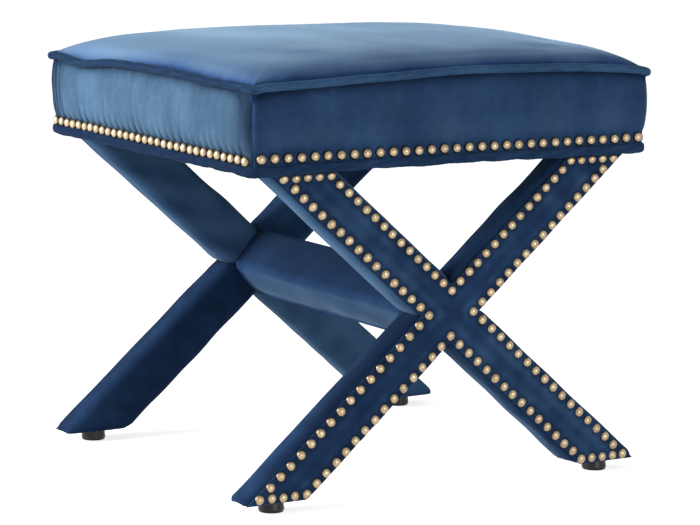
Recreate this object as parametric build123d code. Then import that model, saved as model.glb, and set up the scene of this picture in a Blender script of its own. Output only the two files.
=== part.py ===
from build123d import *
import os
from math import asin, cos, degrees, hypot, radians, sin, tan

# Seat, in millimetres: width and depth are over the top welt, heights are above the floor
SEAT_WIDTH = 518.0
SEAT_DEPTH = 463.0
SEAT_UNDERSIDE = 362.0
TOP_WELT_HEIGHT = 450.0
CROWN_RISE = 34.0
CROWN_EDGE_SHARE = 0.06
CORNER_RADIUS = 10.0
TOP_WELT_D = 9.0
BOTTOM_WELT_D = 8.0
WELT_WALL = 1.2
BELLY = 2.5
TOP_FLARE = 0.5

# Soft layers and the gaps between them
VELVET = 1.2
WADDING = 3.0
BATTING = 8.0
SOFT_GAP = 0.2
SEAM_GAP = 0.2

# Seat frame
RAIL_HEIGHT = 40.0
RAIL_THICK = 28.0
DECK_THICK = 9.0
BLOCK_SIDE = 40.0
BLOCK_HEIGHT = 32.0
DUST_COVER_THICK = 0.8
DUST_COVER_LAP = 14.0
DUST_COVER_NOTCH = 2.5
FRAME_GAP = 0.1

# Leg frames: two crossed arms in the front plane and two in the rear plane
CROSSING_HEIGHT = 197.5
ARM_ANGLE = 40.7
ARM_WIDTH = 56.0
ARM_THICK = 37.4
ARM_EDGE_RADIUS = 8.0
LAP_GAP = 0.15
PANEL_MARGIN = 3.8

# Stretcher: a square beam turned 45 degrees
STRETCHER_SIDE = 54.0
STRETCHER_RIDGE_RADIUS = 10.0
TENON_GAP = 0.4

# Glides
GLIDE_D = 28.0
GLIDE_HEIGHT = 12.0
GLIDE_FLARE = 1.0
GLIDE_INSET = 3.4

# Decorative nails
NAIL_D = 11.0
NAIL_RISE = 4.2
NAIL_SHANK = 1.6
NAIL_LENGTH = 15.0
NAIL_GAP = 0.05
NAIL_CLEARANCE = 0.5
NAIL_EDGE = 9.3
UPPER_PITCH = 15.0
LOWER_PITCH = 16.0
END_PITCH = 15.0
ACUTE_STEP = 17.6
END_ROW_RISE = 5.8
TOP_ROW_DROP = 6.5
SEAT_NAIL_RISE = 15.5
SEAT_NAIL_CORNER = 12.0
SIDE_ROW_LIFT = -2.4
SEAT_PITCH_X = 16.0
SEAT_PITCH_Y = 14.5

# Hidden fasteners: shank diameter, head diameter, head height, thread length in the second piece
HOLE_GAP = 0.1
LEG_SCREW = dict(shank=5.0, head=10.0, rise=4.0, sink=14.0, bite=28.0)
LEG_SCREW_OFFSETS = (4.0, 24.0)
DECK_SCREW = dict(shank=4.0, head=8.0, rise=3.0, sink=3.2, bite=24.0)
BLOCK_SCREW = dict(shank=4.0, head=8.0, rise=3.0, sink=3.2, bite=16.0)
GLIDE_SCREW = dict(shank=4.0, head=8.0, rise=3.0, sink=5.0, bite=24.0)
BOLT = dict(shank=8.0, head=13.0, rise=5.5, sink=8.0, bite=50.0)
BOLT_HALF_SPACING = 11.0
WASHER_D = 20.0
WASHER_THICK = 1.5
DECK_SCREW_X = 90.0
DECK_SCREW_Y = 80.0

# Staples of the dust cover: crown length, wire thickness and leg length
STAPLE_CROWN = 10.0
STAPLE_WIRE = 1.0
STAPLE_LEG = 7.0
STAPLES_SIDE = 7
STAPLES_END = 5
STAPLE_MARGIN_X = 36.0
STAPLE_MARGIN_Y = 17.5

# Derived: the seat's plan outline, which runs along the welts' centre lines
HALF_X = (SEAT_WIDTH - TOP_WELT_D) / 2
HALF_Y = (SEAT_DEPTH - TOP_WELT_D) / 2
LAYERS = VELVET + WADDING + 2 * SOFT_GAP
FACE_X = HALF_X - LAYERS
FACE_Y = HALF_Y - LAYERS
RAIL_TOP = SEAT_UNDERSIDE + RAIL_HEIGHT
DECK_TOP = RAIL_TOP + DECK_THICK
BOTTOM_WELT_HEIGHT = SEAT_UNDERSIDE - 0.5 + BOTTOM_WELT_D / 2
BOTTOM_WELT_OUT = BOTTOM_WELT_D / 2 + SOFT_GAP - LAYERS
BOXING_LOW = BOTTOM_WELT_HEIGHT + BOTTOM_WELT_D / 2 + SOFT_GAP
BOXING_HIGH = TOP_WELT_HEIGHT - TOP_WELT_D / 2 - SOFT_GAP
SEAT_NAIL_HEIGHT = SEAT_UNDERSIDE + SEAT_NAIL_RISE
NAIL_BAND_TOP = SEAT_NAIL_HEIGHT + max(SIDE_ROW_LIFT, 0) + NAIL_D / 2 + 0.5
PANEL_X = HALF_X - TOP_WELT_D / 2 - SOFT_GAP
PANEL_Y = HALF_Y - TOP_WELT_D / 2 - SOFT_GAP
PANEL_EDGE = TOP_WELT_HEIGHT + VELVET

# Derived: the leg frames
SLOPE = tan(radians(ARM_ANGLE))
LEG_TOP = SEAT_UNDERSIDE
LEG_BOTTOM = GLIDE_HEIGHT + FRAME_GAP
ARM_OUT = FACE_Y
ARM_IN = ARM_OUT - ARM_THICK
WRAP_OUT = ARM_OUT - VELVET - SOFT_GAP / 2
CORE_OUT = WRAP_OUT - LAYERS
CORE_IN = ARM_IN + LAYERS
CORE_WIDTH = ARM_WIDTH - 2 * LAYERS
CORE_BOTTOM = LEG_BOTTOM + VELVET + SOFT_GAP
CORE_MID = (CORE_OUT + CORE_IN) / 2
LEG_SCREW_Y = min(CORE_MID, ARM_OUT - NAIL_LENGTH - NAIL_CLEARANCE - LEG_SCREW["shank"] / 2)
NOTCH_X = (LEG_TOP - CROSSING_HEIGHT - ARM_WIDTH / 2 / cos(radians(ARM_ANGLE))) / SLOPE - DUST_COVER_NOTCH
NOTCH_Y = ARM_IN - DUST_COVER_NOTCH
STAPLE_RUN_X = NOTCH_X - STAPLE_MARGIN_X
STAPLE_RUN_Y = NOTCH_Y - STAPLE_MARGIN_Y
STRETCHER_END = ARM_IN - SOFT_GAP
STRETCHER_CORE = STRETCHER_SIDE - 2 * LAYERS
GLIDE_X = (CROSSING_HEIGHT - LEG_BOTTOM) / SLOPE - GLIDE_INSET
FAR = 2000.0

FRONT, REAR = -1, 1
os.makedirs("parts", exist_ok=True)


def save(name, *solids):
    """Writes one node, of one solid or of a group of separate solids."""
    shape = solids[0] if len(solids) == 1 else Compound(children=list(solids))
    export_step(shape, f"parts/{name}.step")


def one(shape):
    """The single solid of a boolean's result."""
    found = shape.solids()
    if len(found) != 1:
        raise ValueError(f"expected one solid, got {len(found)}")
    return found[0]


def block(x0, x1, y0, y1, z0, z1):
    """A box between two corners."""
    middle = Pos((x0 + x1) / 2, (y0 + y1) / 2, (z0 + z1) / 2)
    return middle * Box(x1 - x0, y1 - y0, z1 - z0)


def prism(half_x, half_y, radius, z0, z1):
    """A vertical prism over a rectangle with rounded corners."""
    outline = RectangleRounded(2 * half_x, 2 * half_y, radius)
    return extrude(Pos(0, 0, z0) * outline, z1 - z0)


def rod(start, direction, diameter, length):
    """A cylinder from a point along a direction."""
    return extrude(Plane(start, z_dir=direction) * Circle(diameter / 2), length)


# Fasteners: each is a head on a shank, driven from a point along a direction
def screw(spec, seat, direction, reach):
    """A screw whose head bears on the seat point, with its shank reaching on along the direction."""
    back = Vector(*direction) * -spec["rise"]
    head = rod(Vector(*seat) + back, direction, spec["head"], spec["rise"])
    shank = rod(seat, direction, spec["shank"], reach)
    return one(head + shank)


def screw_hole(spec, seat, direction, reach, clear_head=True):
    """The hole that a screw needs: its shank with a gap and the counterbore over its head."""
    start = Vector(*seat) - Vector(*direction) * HOLE_GAP
    hole = rod(start, direction, spec["shank"] + 2 * HOLE_GAP, reach + 2 * HOLE_GAP)
    if not clear_head:
        return hole
    back = Vector(*direction) * -spec["sink"]
    bore = rod(Vector(*seat) + back, direction, spec["head"] + 5 * HOLE_GAP, spec["sink"])
    return hole + bore


def drill(body, holes):
    """A piece with holes cut out of it."""
    return one(body.cut(*holes)) if holes else body


def touching(body, holes):
    """The holes whose boxes meet a piece's box."""
    box = body.bounding_box()
    return [hole for hole in holes if box.overlaps(hole.bounding_box())]


# Nails: a domed head on a square shank, standing out of a face along -Y at the origin
def nail_blank():
    radius = NAIL_D / 2
    sphere = (radius**2 + NAIL_RISE**2) / (2 * NAIL_RISE)
    half_turn = asin(radius / sphere) / 2
    shoulder = (sphere * sin(half_turn), sphere * (1 - cos(half_turn)) - NAIL_RISE)
    edges = [
        Line((0, 0), (radius, 0)),
        ThreePointArc((radius, 0), shoulder, (0, -NAIL_RISE)),
        Line((0, -NAIL_RISE), (0, 0)),
    ]
    head = revolve(make_face(edges), Axis.Y)
    shank = block(-NAIL_SHANK / 2, NAIL_SHANK / 2, 0, NAIL_LENGTH, -NAIL_SHANK / 2, NAIL_SHANK / 2)
    return one(head + shank)


def shank_blank():
    side = NAIL_SHANK / 2 + NAIL_GAP
    return block(-side, side, -NAIL_GAP, NAIL_LENGTH + NAIL_GAP, -side, side).solid()


NAIL = nail_blank()
SHANK = shank_blank()


def evenly(start, end, pitch):
    """Points from start to end, both counted, at the whole number of steps nearest to the pitch."""
    steps = max(1, round(hypot(end[0] - start[0], end[1] - start[1]) / pitch))
    return [
        (start[0] + (end[0] - start[0]) * i / steps, start[1] + (end[1] - start[1]) * i / steps)
        for i in range(steps + 1)
    ]


# Seat frame
def straight_rail(half_length, y_out, corner):
    """A rail along X whose outer face is at -Y, with its two outer corners rounded where it has any."""
    rail = block(-half_length, half_length, -y_out, RAIL_THICK - y_out, SEAT_UNDERSIDE, RAIL_TOP)
    if corner:
        outer = [e for e in rail.edges().filter_by(Axis.Z) if e.center().Y < RAIL_THICK / 2 - y_out]
        rail = fillet(outer, corner)
    return rail.solid()


def leg_screw_places():
    """Seats of the screws that hold the arm tops: two above each arm, behind the nails' points."""
    top_middle = (LEG_TOP - CROSSING_HEIGHT) / SLOPE
    return [
        (side_x * (top_middle - offset), side_y * LEG_SCREW_Y, RAIL_TOP - LEG_SCREW["sink"])
        for side_x in (-1, 1)
        for side_y in (FRONT, REAR)
        for offset in LEG_SCREW_OFFSETS
    ]


LEG_SCREW_REACH = RAIL_HEIGHT - LEG_SCREW["sink"] + LEG_SCREW["bite"]
DECK_SCREW_REACH = DECK_THICK - DECK_SCREW["sink"] + DECK_SCREW["bite"]


def deck_screw_places():
    rail_x = FACE_X - RAIL_THICK / 2
    rail_y = FACE_Y - RAIL_THICK / 2
    seat = DECK_TOP - DECK_SCREW["sink"]
    ends = [(sx * DECK_SCREW_X, sy * rail_y, seat) for sx in (-1, 1) for sy in (-1, 1)]
    sides = [(sx * rail_x, sy * DECK_SCREW_Y, seat) for sx in (-1, 1) for sy in (-1, 1)]
    return ends + sides


def block_screw_places():
    """Seat and direction of two screws in each corner block: one into each rail beside it."""
    reach_x = FACE_X - RAIL_THICK - BLOCK_SIDE
    reach_y = FACE_Y - RAIL_THICK - BLOCK_SIDE
    low = SEAT_UNDERSIDE + (RAIL_HEIGHT - BLOCK_HEIGHT) / 2 + BLOCK_HEIGHT / 4
    high = low + BLOCK_HEIGHT / 2
    places = []
    for sx in (-1, 1):
        for sy in (-1, 1):
            into_x = (sx * (reach_x + BLOCK_SCREW["sink"]), sy * (reach_y + BLOCK_SIDE / 2), low)
            into_y = (sx * (reach_x + BLOCK_SIDE / 2), sy * (reach_y + BLOCK_SCREW["sink"]), high)
            places += [(into_x, (sx, 0, 0)), (into_y, (0, sy, 0))]
    return places


BLOCK_SCREW_REACH = BLOCK_SIDE - BLOCK_SCREW["sink"] + BLOCK_SCREW["bite"]
DOWN = (0, 0, -1)
UP = (0, 0, 1)


def staple_places():
    """Middle points and turns of the staples under the rails."""
    rail_x = FACE_X - RAIL_THICK + DUST_COVER_LAP / 2
    rail_y = FACE_Y - RAIL_THICK + DUST_COVER_LAP / 2
    places = []
    for side in (-1, 1):
        for i in range(STAPLES_SIDE):
            places.append((side * rail_x, STAPLE_RUN_Y * (2 * i / (STAPLES_SIDE - 1) - 1), 90))
        for i in range(STAPLES_END):
            places.append((STAPLE_RUN_X * (2 * i / (STAPLES_END - 1) - 1), side * rail_y, 0))
    return places


DUST_COVER_TOP = SEAT_UNDERSIDE - FRAME_GAP
DUST_COVER_LOW = DUST_COVER_TOP - DUST_COVER_THICK


def staple_shape(gap):
    """A staple with its crown along X under the dust cover, or with a gap, the cut that it needs."""
    half = STAPLE_WIRE / 2 + gap
    crown_top = DUST_COVER_LOW - FRAME_GAP + gap
    crown_low = crown_top - STAPLE_WIRE - gap
    tip = crown_top + STAPLE_LEG + gap
    shape = block(-STAPLE_CROWN / 2 - gap, STAPLE_CROWN / 2 + gap, -half, half, crown_low, crown_top)
    for side in (-1, 1):
        middle = side * (STAPLE_CROWN - STAPLE_WIRE) / 2
        shape += block(middle - half, middle + half, -half, half, crown_low, tip)
    return one(shape)


def staples(gap=0.0):
    shape = staple_shape(gap)
    return [Pos(x, y, 0) * Rot(0, 0, turn) * shape for x, y, turn in staple_places()]


def seat_nail_places(half_length, pitch):
    """Places of the seat nails along one side, from corner to corner."""
    end = half_length - SEAT_NAIL_CORNER
    return [x for x, _ in evenly((-end, 0), (end, 0), pitch)]


# The four sides of the seat, by turn about Z: half length, half distance to the face, nail pitch
SIDES = {
    "front": (0, HALF_X, HALF_Y, SEAT_PITCH_X),
    "right": (90, HALF_Y, HALF_X, SEAT_PITCH_Y),
    "rear": (180, HALF_X, HALF_Y, SEAT_PITCH_X),
    "left": (270, HALF_Y, HALF_X, SEAT_PITCH_Y),
}


def seat_nails(side, blank):
    """Nails, or their shank cuts, along one side. The left and right rows pass over the other two."""
    turn, half_length, half_out, pitch = SIDES[side]
    turned = Rot(0, 0, turn)
    height = SEAT_NAIL_HEIGHT + (SIDE_ROW_LIFT if side in ("left", "right") else 0)
    return [turned * Pos(x, -half_out, height) * blank for x in seat_nail_places(half_length, pitch)]


def all_seat_shanks():
    return [cut for side in SIDES for cut in seat_nails(side, SHANK)]


def make_seat_frame():
    fixings = [screw_hole(LEG_SCREW, p, DOWN, LEG_SCREW_REACH) for p in leg_screw_places()]
    fixings += [screw_hole(DECK_SCREW, p, DOWN, DECK_SCREW_REACH) for p in deck_screw_places()]
    fixings += [screw_hole(BLOCK_SCREW, p, d, BLOCK_SCREW_REACH) for p, d in block_screw_places()]
    fixings += staples(NAIL_GAP) + all_seat_shanks()
    corner = CORNER_RADIUS - LAYERS
    for name, (turn, half_length, half_out, _) in SIDES.items():
        along_x = name in ("front", "rear")
        length = FACE_X if along_x else FACE_Y - RAIL_THICK
        rail = Rot(0, 0, turn) * straight_rail(length, half_out - LAYERS, corner if along_x else 0)
        save(f"seat_rail_{name}", drill(rail, touching(rail, fixings)))
    save("leg_screws", *[screw(LEG_SCREW, p, DOWN, LEG_SCREW_REACH) for p in leg_screw_places()])
    low = SEAT_UNDERSIDE + (RAIL_HEIGHT - BLOCK_HEIGHT) / 2
    cuts = [screw_hole(BLOCK_SCREW, p, d, BLOCK_SCREW_REACH) for p, d in block_screw_places()]
    for sx, across in ((-1, "left"), (1, "right")):
        for sy, along in ((FRONT, "front"), (REAR, "rear")):
            x = sorted((sx * (FACE_X - RAIL_THICK), sx * (FACE_X - RAIL_THICK - BLOCK_SIDE)))
            y = sorted((sy * (FACE_Y - RAIL_THICK), sy * (FACE_Y - RAIL_THICK - BLOCK_SIDE)))
            corner_block = block(*x, *y, low, low + BLOCK_HEIGHT).solid()
            save(f"corner_block_{along}_{across}", drill(corner_block, touching(corner_block, cuts)))
    block_screws = [screw(BLOCK_SCREW, p, d, BLOCK_SCREW_REACH) for p, d in block_screw_places()]
    save("corner_block_screws", *block_screws)
    deck = prism(FACE_X, FACE_Y, corner, RAIL_TOP, DECK_TOP).solid()
    deck_holes = [screw_hole(DECK_SCREW, p, DOWN, DECK_SCREW_REACH) for p in deck_screw_places()]
    save("seat_deck", drill(deck, deck_holes))
    save("deck_screws", *[screw(DECK_SCREW, p, DOWN, DECK_SCREW_REACH) for p in deck_screw_places()])


def make_dust_cover():
    half_x = FACE_X - RAIL_THICK + DUST_COVER_LAP
    half_y = FACE_Y - RAIL_THICK + DUST_COVER_LAP
    cloth = block(-half_x, half_x, -half_y, half_y, DUST_COVER_LOW, DUST_COVER_TOP)
    for sx in (-1, 1):
        for sy in (-1, 1):
            x = sorted((sx * NOTCH_X, sx * FAR))
            y = sorted((sy * NOTCH_Y, sy * FAR))
            cloth -= block(*x, *y, DUST_COVER_LOW - 1, DUST_COVER_TOP + 1)
    save("dust_cover", drill(one(cloth), staples(NAIL_GAP)))
    save("dust_cover_staples", *staples())


# Seat upholstery: profiles are (out, height) pairs, out from the plan outline, swept round the seat
def profile_face(edges):
    return Plane.YZ * make_face(edges)


def straight_run(profile, half_length, half_out):
    """The straight part of a side along X, at -Y. The profile's out axis points to -Y."""
    face = Pos(CORNER_RADIUS - half_length, -half_out, 0) * profile
    return extrude(face, 2 * (half_length - CORNER_RADIUS), dir=(1, 0, 0))


def corner_run(profile, half_length, half_out, side, arc):
    """A turn at one end of a side, about the corner's upright axis."""
    x = side * (half_length - CORNER_RADIUS)
    face = Pos(x, -half_out, 0) * profile
    axis = Axis((x, CORNER_RADIUS - half_out, 0), (0, 0, side))
    return revolve(face, axis, arc)


def ring(profile):
    """A profile swept right round the seat, as one solid."""
    pieces = []
    for turn, half_length, half_out, _ in SIDES.values():
        run = straight_run(profile, half_length, half_out)
        corner = corner_run(profile, half_length, half_out, 1, 90)
        pieces += [Rot(0, 0, turn) * run, Rot(0, 0, turn) * corner]
    return one(pieces[0].fuse(*pieces[1:]))


def band(profile, side):
    """A profile along one side, ending half way round each corner, less half of a seam's gap."""
    turn, half_length, half_out, _ = SIDES[side]
    pieces = [straight_run(profile, half_length, half_out)]
    seam = degrees(SEAM_GAP / 2 / CORNER_RADIUS)
    pieces += [corner_run(profile, half_length, half_out, s, 45 - seam) for s in (-1, 1)]
    return Rot(0, 0, turn) * one(pieces[0].fuse(*pieces[1:]))


def side_curve(depth, low, high):
    """The boxing's outer line, moved in by a depth: straight over the nail band, then bowed out."""
    middle = (NAIL_BAND_TOP + BOXING_HIGH) / 2
    straight = Line((depth, low), (depth, NAIL_BAND_TOP))
    bow = ThreePointArc((depth, NAIL_BAND_TOP), (depth - BELLY, middle), (depth - TOP_FLARE, high))
    return straight, bow


def boxing_profile():
    outer = side_curve(0, BOXING_LOW, BOXING_HIGH)
    inner = side_curve(VELVET, BOXING_LOW, BOXING_HIGH)
    top = Line((-TOP_FLARE, BOXING_HIGH), (VELVET - TOP_FLARE, BOXING_HIGH))
    bottom = Line((VELVET, BOXING_LOW), (0, BOXING_LOW))
    return profile_face([*outer, top, *inner, bottom])


def wadding_profile():
    skin = VELVET + SOFT_GAP
    back = skin + WADDING
    low = BOXING_LOW + SOFT_GAP
    high = BOXING_HIGH - SOFT_GAP
    top = Line((skin - TOP_FLARE, high), (back, high))
    return profile_face(
        [*side_curve(skin, low, high), top, Line((back, high), (back, low)), Line((back, low), (skin, low))]
    )


def welt_profile(out, height, section):
    return Plane.YZ * Pos(-out, height) * section


def make_welt(name, out, height, diameter):
    """A velvet tube round the seat, swept with its bore open, and the cord inside it."""
    bore = diameter - 2 * WELT_WALL
    tube = Circle(diameter / 2) - Circle(bore / 2)
    cord = Circle(bore / 2 - SOFT_GAP)
    save(f"{name}_welt", ring(welt_profile(out, height, tube)))
    save(f"{name}_welt_cord", ring(welt_profile(out, height, cord)))


def make_boxing():
    for side in SIDES:
        save(f"boxing_{side}", drill(band(boxing_profile(), side), seat_nails(side, SHANK)))
        save(f"seat_nails_{side}", *seat_nails(side, NAIL))
    save("seat_side_wadding", drill(ring(wadding_profile()), all_seat_shanks()))


# Crown: the seat's top rises from its edge, steeply at first, and is nearly flat in the middle
def crown(share):
    """Rise of the crown at a share of the way from the middle to an edge."""
    return CROWN_EDGE_SHARE + (1 - CROWN_EDGE_SHARE) * (1 - abs(share) ** 4)


def crown_line(y_share, drop):
    """The crown across X at one Y, as three arcs, lowered by a drop."""
    rise = CROWN_RISE - VELVET

    def point(share):
        return (share * PANEL_X, PANEL_EDGE - drop + rise * crown(share) * crown(y_share))

    spans = ((-1, -0.88, -0.7), (-0.7, 0, 0.7), (0.7, 0.88, 1))
    return [ThreePointArc(point(a), point(b), point(c)) for a, b, c in spans]


def crowned(top_drop, bottom):
    """A loft along Y between a lowered crown and a second line under it, trimmed to the panel's outline."""
    sections = []
    for y_share in (-1, -0.88, -0.6, 0, 0.6, 0.88, 1):
        upper = crown_line(y_share, top_drop)
        lower = bottom(y_share)
        left = Line(upper[0] @ 0, lower[0] @ 0)
        right = Line(upper[-1] @ 1, lower[-1] @ 1)
        plane = Plane((0, y_share * PANEL_Y, 0), x_dir=(1, 0, 0), z_dir=(0, -1, 0))
        sections.append(plane * make_face([*upper, right, *lower, left]))
    trim = prism(PANEL_X - 0.05, PANEL_Y - 0.05, CORNER_RADIUS - TOP_WELT_D / 2, DECK_TOP - 1, FAR)
    return one(loft(sections) & trim)


def make_cushion():
    save("seat_top_panel", crowned(0, lambda y: crown_line(y, VELVET)))
    under = VELVET + SOFT_GAP
    save("seat_batting", crowned(under, lambda y: crown_line(y, under + BATTING)))
    floor = DECK_TOP + SOFT_GAP
    stops = [(share * PANEL_X, floor) for share in (-1, -0.7, 0.7, 1)]
    base = [Line(start, end) for start, end in zip(stops, stops[1:])]
    save("seat_foam", crowned(under + BATTING + SOFT_GAP, lambda y: base))


# Leg frames: an arm is "rising" when its top is at +X, and "falling" when its top is at -X
def arm_bar(lean, width, y_in, y_out, radius, z0, z1):
    """A straight bar through the crossing, cut level at both ends, between two planes parallel to XZ."""
    along = Vector(lean * cos(radians(ARM_ANGLE)), 0, cos(radians(90 - ARM_ANGLE)))
    middle = Vector(0, (y_in + y_out) / 2, CROSSING_HEIGHT)
    plane = Plane(middle, x_dir=(0, 1, 0), z_dir=along)
    thickness = abs(y_out - y_in)
    outline = RectangleRounded(thickness, width, radius) if radius else Rectangle(thickness, width)
    bar = extrude(plane * outline, FAR, both=True)
    return (bar & block(-FAR, FAR, -FAR, FAR, z0, z1)).solid()


def nail_points():
    """Nails of one face as (x, z): a nail in each notch, rows along every edge and across every end."""
    half = (ARM_WIDTH / 2 - NAIL_EDGE) / cos(radians(ARM_ANGLE))
    rows = ((LEG_TOP - TOP_ROW_DROP, 1, UPPER_PITCH), (LEG_BOTTOM + END_ROW_RISE, -1, LOWER_PITCH))
    points = [(0, CROSSING_HEIGHT + half), (0, CROSSING_HEIGHT - half)]
    points += [(half / SLOPE, CROSSING_HEIGHT), (-half / SLOPE, CROSSING_HEIGHT)]
    for end_z, up, pitch in rows:
        climb = abs(end_z - CROSSING_HEIGHT)
        for side in (-1, 1):
            notch_x = side * half / SLOPE
            outer = (side * (climb + half) / SLOPE, end_z)
            inner = (side * (climb - half) / SLOPE, end_z)
            share = ACUTE_STEP / hypot(outer[0] - notch_x, climb)
            near_x = outer[0] + (notch_x - outer[0]) * share
            near_z = end_z + (CROSSING_HEIGHT - end_z) * share
            points += evenly((notch_x, CROSSING_HEIGHT), (near_x, near_z), pitch)[1:]
            points += evenly((0, CROSSING_HEIGHT + up * half), inner, pitch)[1:]
            points += evenly(inner, outer, END_PITCH)[1:]
    return points


def leg_nails(face, blank):
    """Nails, or their shank cuts, on the outer face of the front or rear frame."""
    turn = Rot(0, 0, 0 if face == FRONT else 180)
    return [turn * Pos(x, -ARM_OUT, z) * blank for x, z in nail_points()]


def bolt_places(face):
    """Seats of the two bolts through one crossing: each washer lies between the head and the board."""
    seat_y = face * (CORE_OUT - BOLT["sink"] + WASHER_THICK)
    return [(side * BOLT_HALF_SPACING, seat_y, CROSSING_HEIGHT) for side in (-1, 1)]


BOLT_REACH = (CORE_OUT - BOLT["sink"] + WASHER_THICK) - CORE_IN + BOLT["bite"]


def bolt_hole(face, place):
    inward = (0, -face, 0)
    floor = (place[0], face * (CORE_OUT - BOLT["sink"]), place[2])
    hole = rod(place, inward, BOLT["shank"] + 2 * HOLE_GAP, BOLT_REACH + HOLE_GAP)
    bore = rod(floor, (0, face, 0), WASHER_D + 4 * HOLE_GAP, BOLT["sink"] + 1)
    return hole + bore


def glide_places():
    return [
        (f"{along}_{across}", sx * GLIDE_X, sy * (ARM_OUT + ARM_IN) / 2)
        for sy, along in ((FRONT, "front"), (REAR, "rear"))
        for sx, across in ((-1, "left"), (1, "right"))
    ]


GLIDE_SCREW_REACH = CORE_BOTTOM - GLIDE_SCREW["sink"] + GLIDE_SCREW["bite"]


def glide_screw_holes():
    sink = GLIDE_SCREW["sink"]
    return [screw_hole(GLIDE_SCREW, (x, y, sink), UP, GLIDE_SCREW_REACH) for _, x, y in glide_places()]


def make_boards(face, name):
    """Two boards, half-lapped at the crossing, with the holes of nails, bolts and screws."""
    inner, middle, outer = face * CORE_IN, face * CORE_MID, face * CORE_OUT
    cuts = [bolt_hole(face, place) for place in bolt_places(face)]
    screws = [place for place in leg_screw_places() if place[1] * face > 0]
    cuts += [screw_hole(LEG_SCREW, place, DOWN, LEG_SCREW_REACH, False) for place in screws]
    cuts += [hole for hole in glide_screw_holes() if hole.center().Y * face > 0]
    cuts += leg_nails(face, SHANK)
    for lean, kind, lap in ((1, "rising", (middle, outer)), (-1, "falling", (inner, middle))):
        board = arm_bar(lean, CORE_WIDTH, inner, outer, 0, CORE_BOTTOM, LEG_TOP)
        notch = arm_bar(-lean, CORE_WIDTH + 2 * LAP_GAP, *lap, 0, 0, LEG_TOP + 1)
        grown = notch + Pos(0, face * LAP_GAP / 2 * (1 if kind == "falling" else -1), 0) * notch
        save(f"{name}_board_{kind}", drill(one(board - grown), cuts))


def stretcher_prism(side, radius, half_length):
    """A square beam along Y, standing on an edge, with its two side ridges rounded."""
    outline = Rot(0, 0, 45) * Rectangle(side, side)
    if radius:
        ridges = outline.vertices().sort_by(Axis.X)
        outline = fillet([ridges[0], ridges[-1]], radius)
    plane = Plane((0, -half_length, CROSSING_HEIGHT), x_dir=(1, 0, 0), z_dir=(0, 1, 0))
    return extrude(plane * outline, 2 * half_length)


def make_leg_soft(face, name):
    """Wadding round the boards, four velvet wraps, the face panel and its nails."""
    inner, outer = face * ARM_IN, face * WRAP_OUT
    skin = VELVET
    pad = VELVET + SOFT_GAP
    top = LEG_TOP - FRAME_GAP
    shanks = leg_nails(face, SHANK)
    tenon = stretcher_prism(STRETCHER_CORE + 2 * TENON_GAP, 0, ARM_IN + ARM_THICK / 2)
    wadding = None
    for lean in (1, -1):
        soft = arm_bar(lean, ARM_WIDTH - 2 * pad, inner + face * pad, outer - face * pad,
                       ARM_EDGE_RADIUS - pad, CORE_BOTTOM, top)
        wadding = soft if wadding is None else wadding + soft
    board_in, board_out = face * (CORE_IN - SOFT_GAP), face * (CORE_OUT + SOFT_GAP)
    for lean in (1, -1):
        wadding -= arm_bar(lean, CORE_WIDTH + 2 * SOFT_GAP, board_in, board_out, 0, 0, FAR)
    save(f"{name}_leg_wadding", drill(one(wadding - tenon), shanks))
    glide_cuts = [hole for hole in glide_screw_holes() if hole.center().Y * face > 0]
    for lean, up, across in ((-1, 1, "left"), (1, 1, "right"), (1, -1, "left"), (-1, -1, "right")):
        tube = arm_bar(lean, ARM_WIDTH, inner, outer, ARM_EDGE_RADIUS, LEG_BOTTOM, top)
        tube -= arm_bar(lean, ARM_WIDTH - 2 * skin, inner + face * skin, outer - face * skin,
                        ARM_EDGE_RADIUS - skin, LEG_BOTTOM + skin, FAR)
        sx = -1 if across == "left" else 1
        x = sorted((sx * SEAM_GAP / 2, sx * FAR))
        z = sorted((CROSSING_HEIGHT + up * SEAM_GAP / 2, CROSSING_HEIGHT + up * FAR))
        wrap = one((tube & block(*x, -FAR, FAR, *z)) - tenon)
        near = [c for c in shanks if c.center().X * sx > -1 and (c.center().Z - CROSSING_HEIGHT) * up > -1]
        level = "upper" if up > 0 else "lower"
        save(f"{name}_wrap_{level}_{across}", drill(wrap, near + (glide_cuts if up < 0 else [])))
    panel = None
    for lean in (1, -1):
        strip = arm_bar(lean, ARM_WIDTH - 2 * PANEL_MARGIN, face * (ARM_OUT - VELVET), face * ARM_OUT, 0,
                        LEG_BOTTOM, top)
        panel = strip if panel is None else panel + strip
    save(f"{name}_face_panel", drill(one(panel), shanks))
    save(f"{name}_leg_nails", *leg_nails(face, NAIL))


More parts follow.
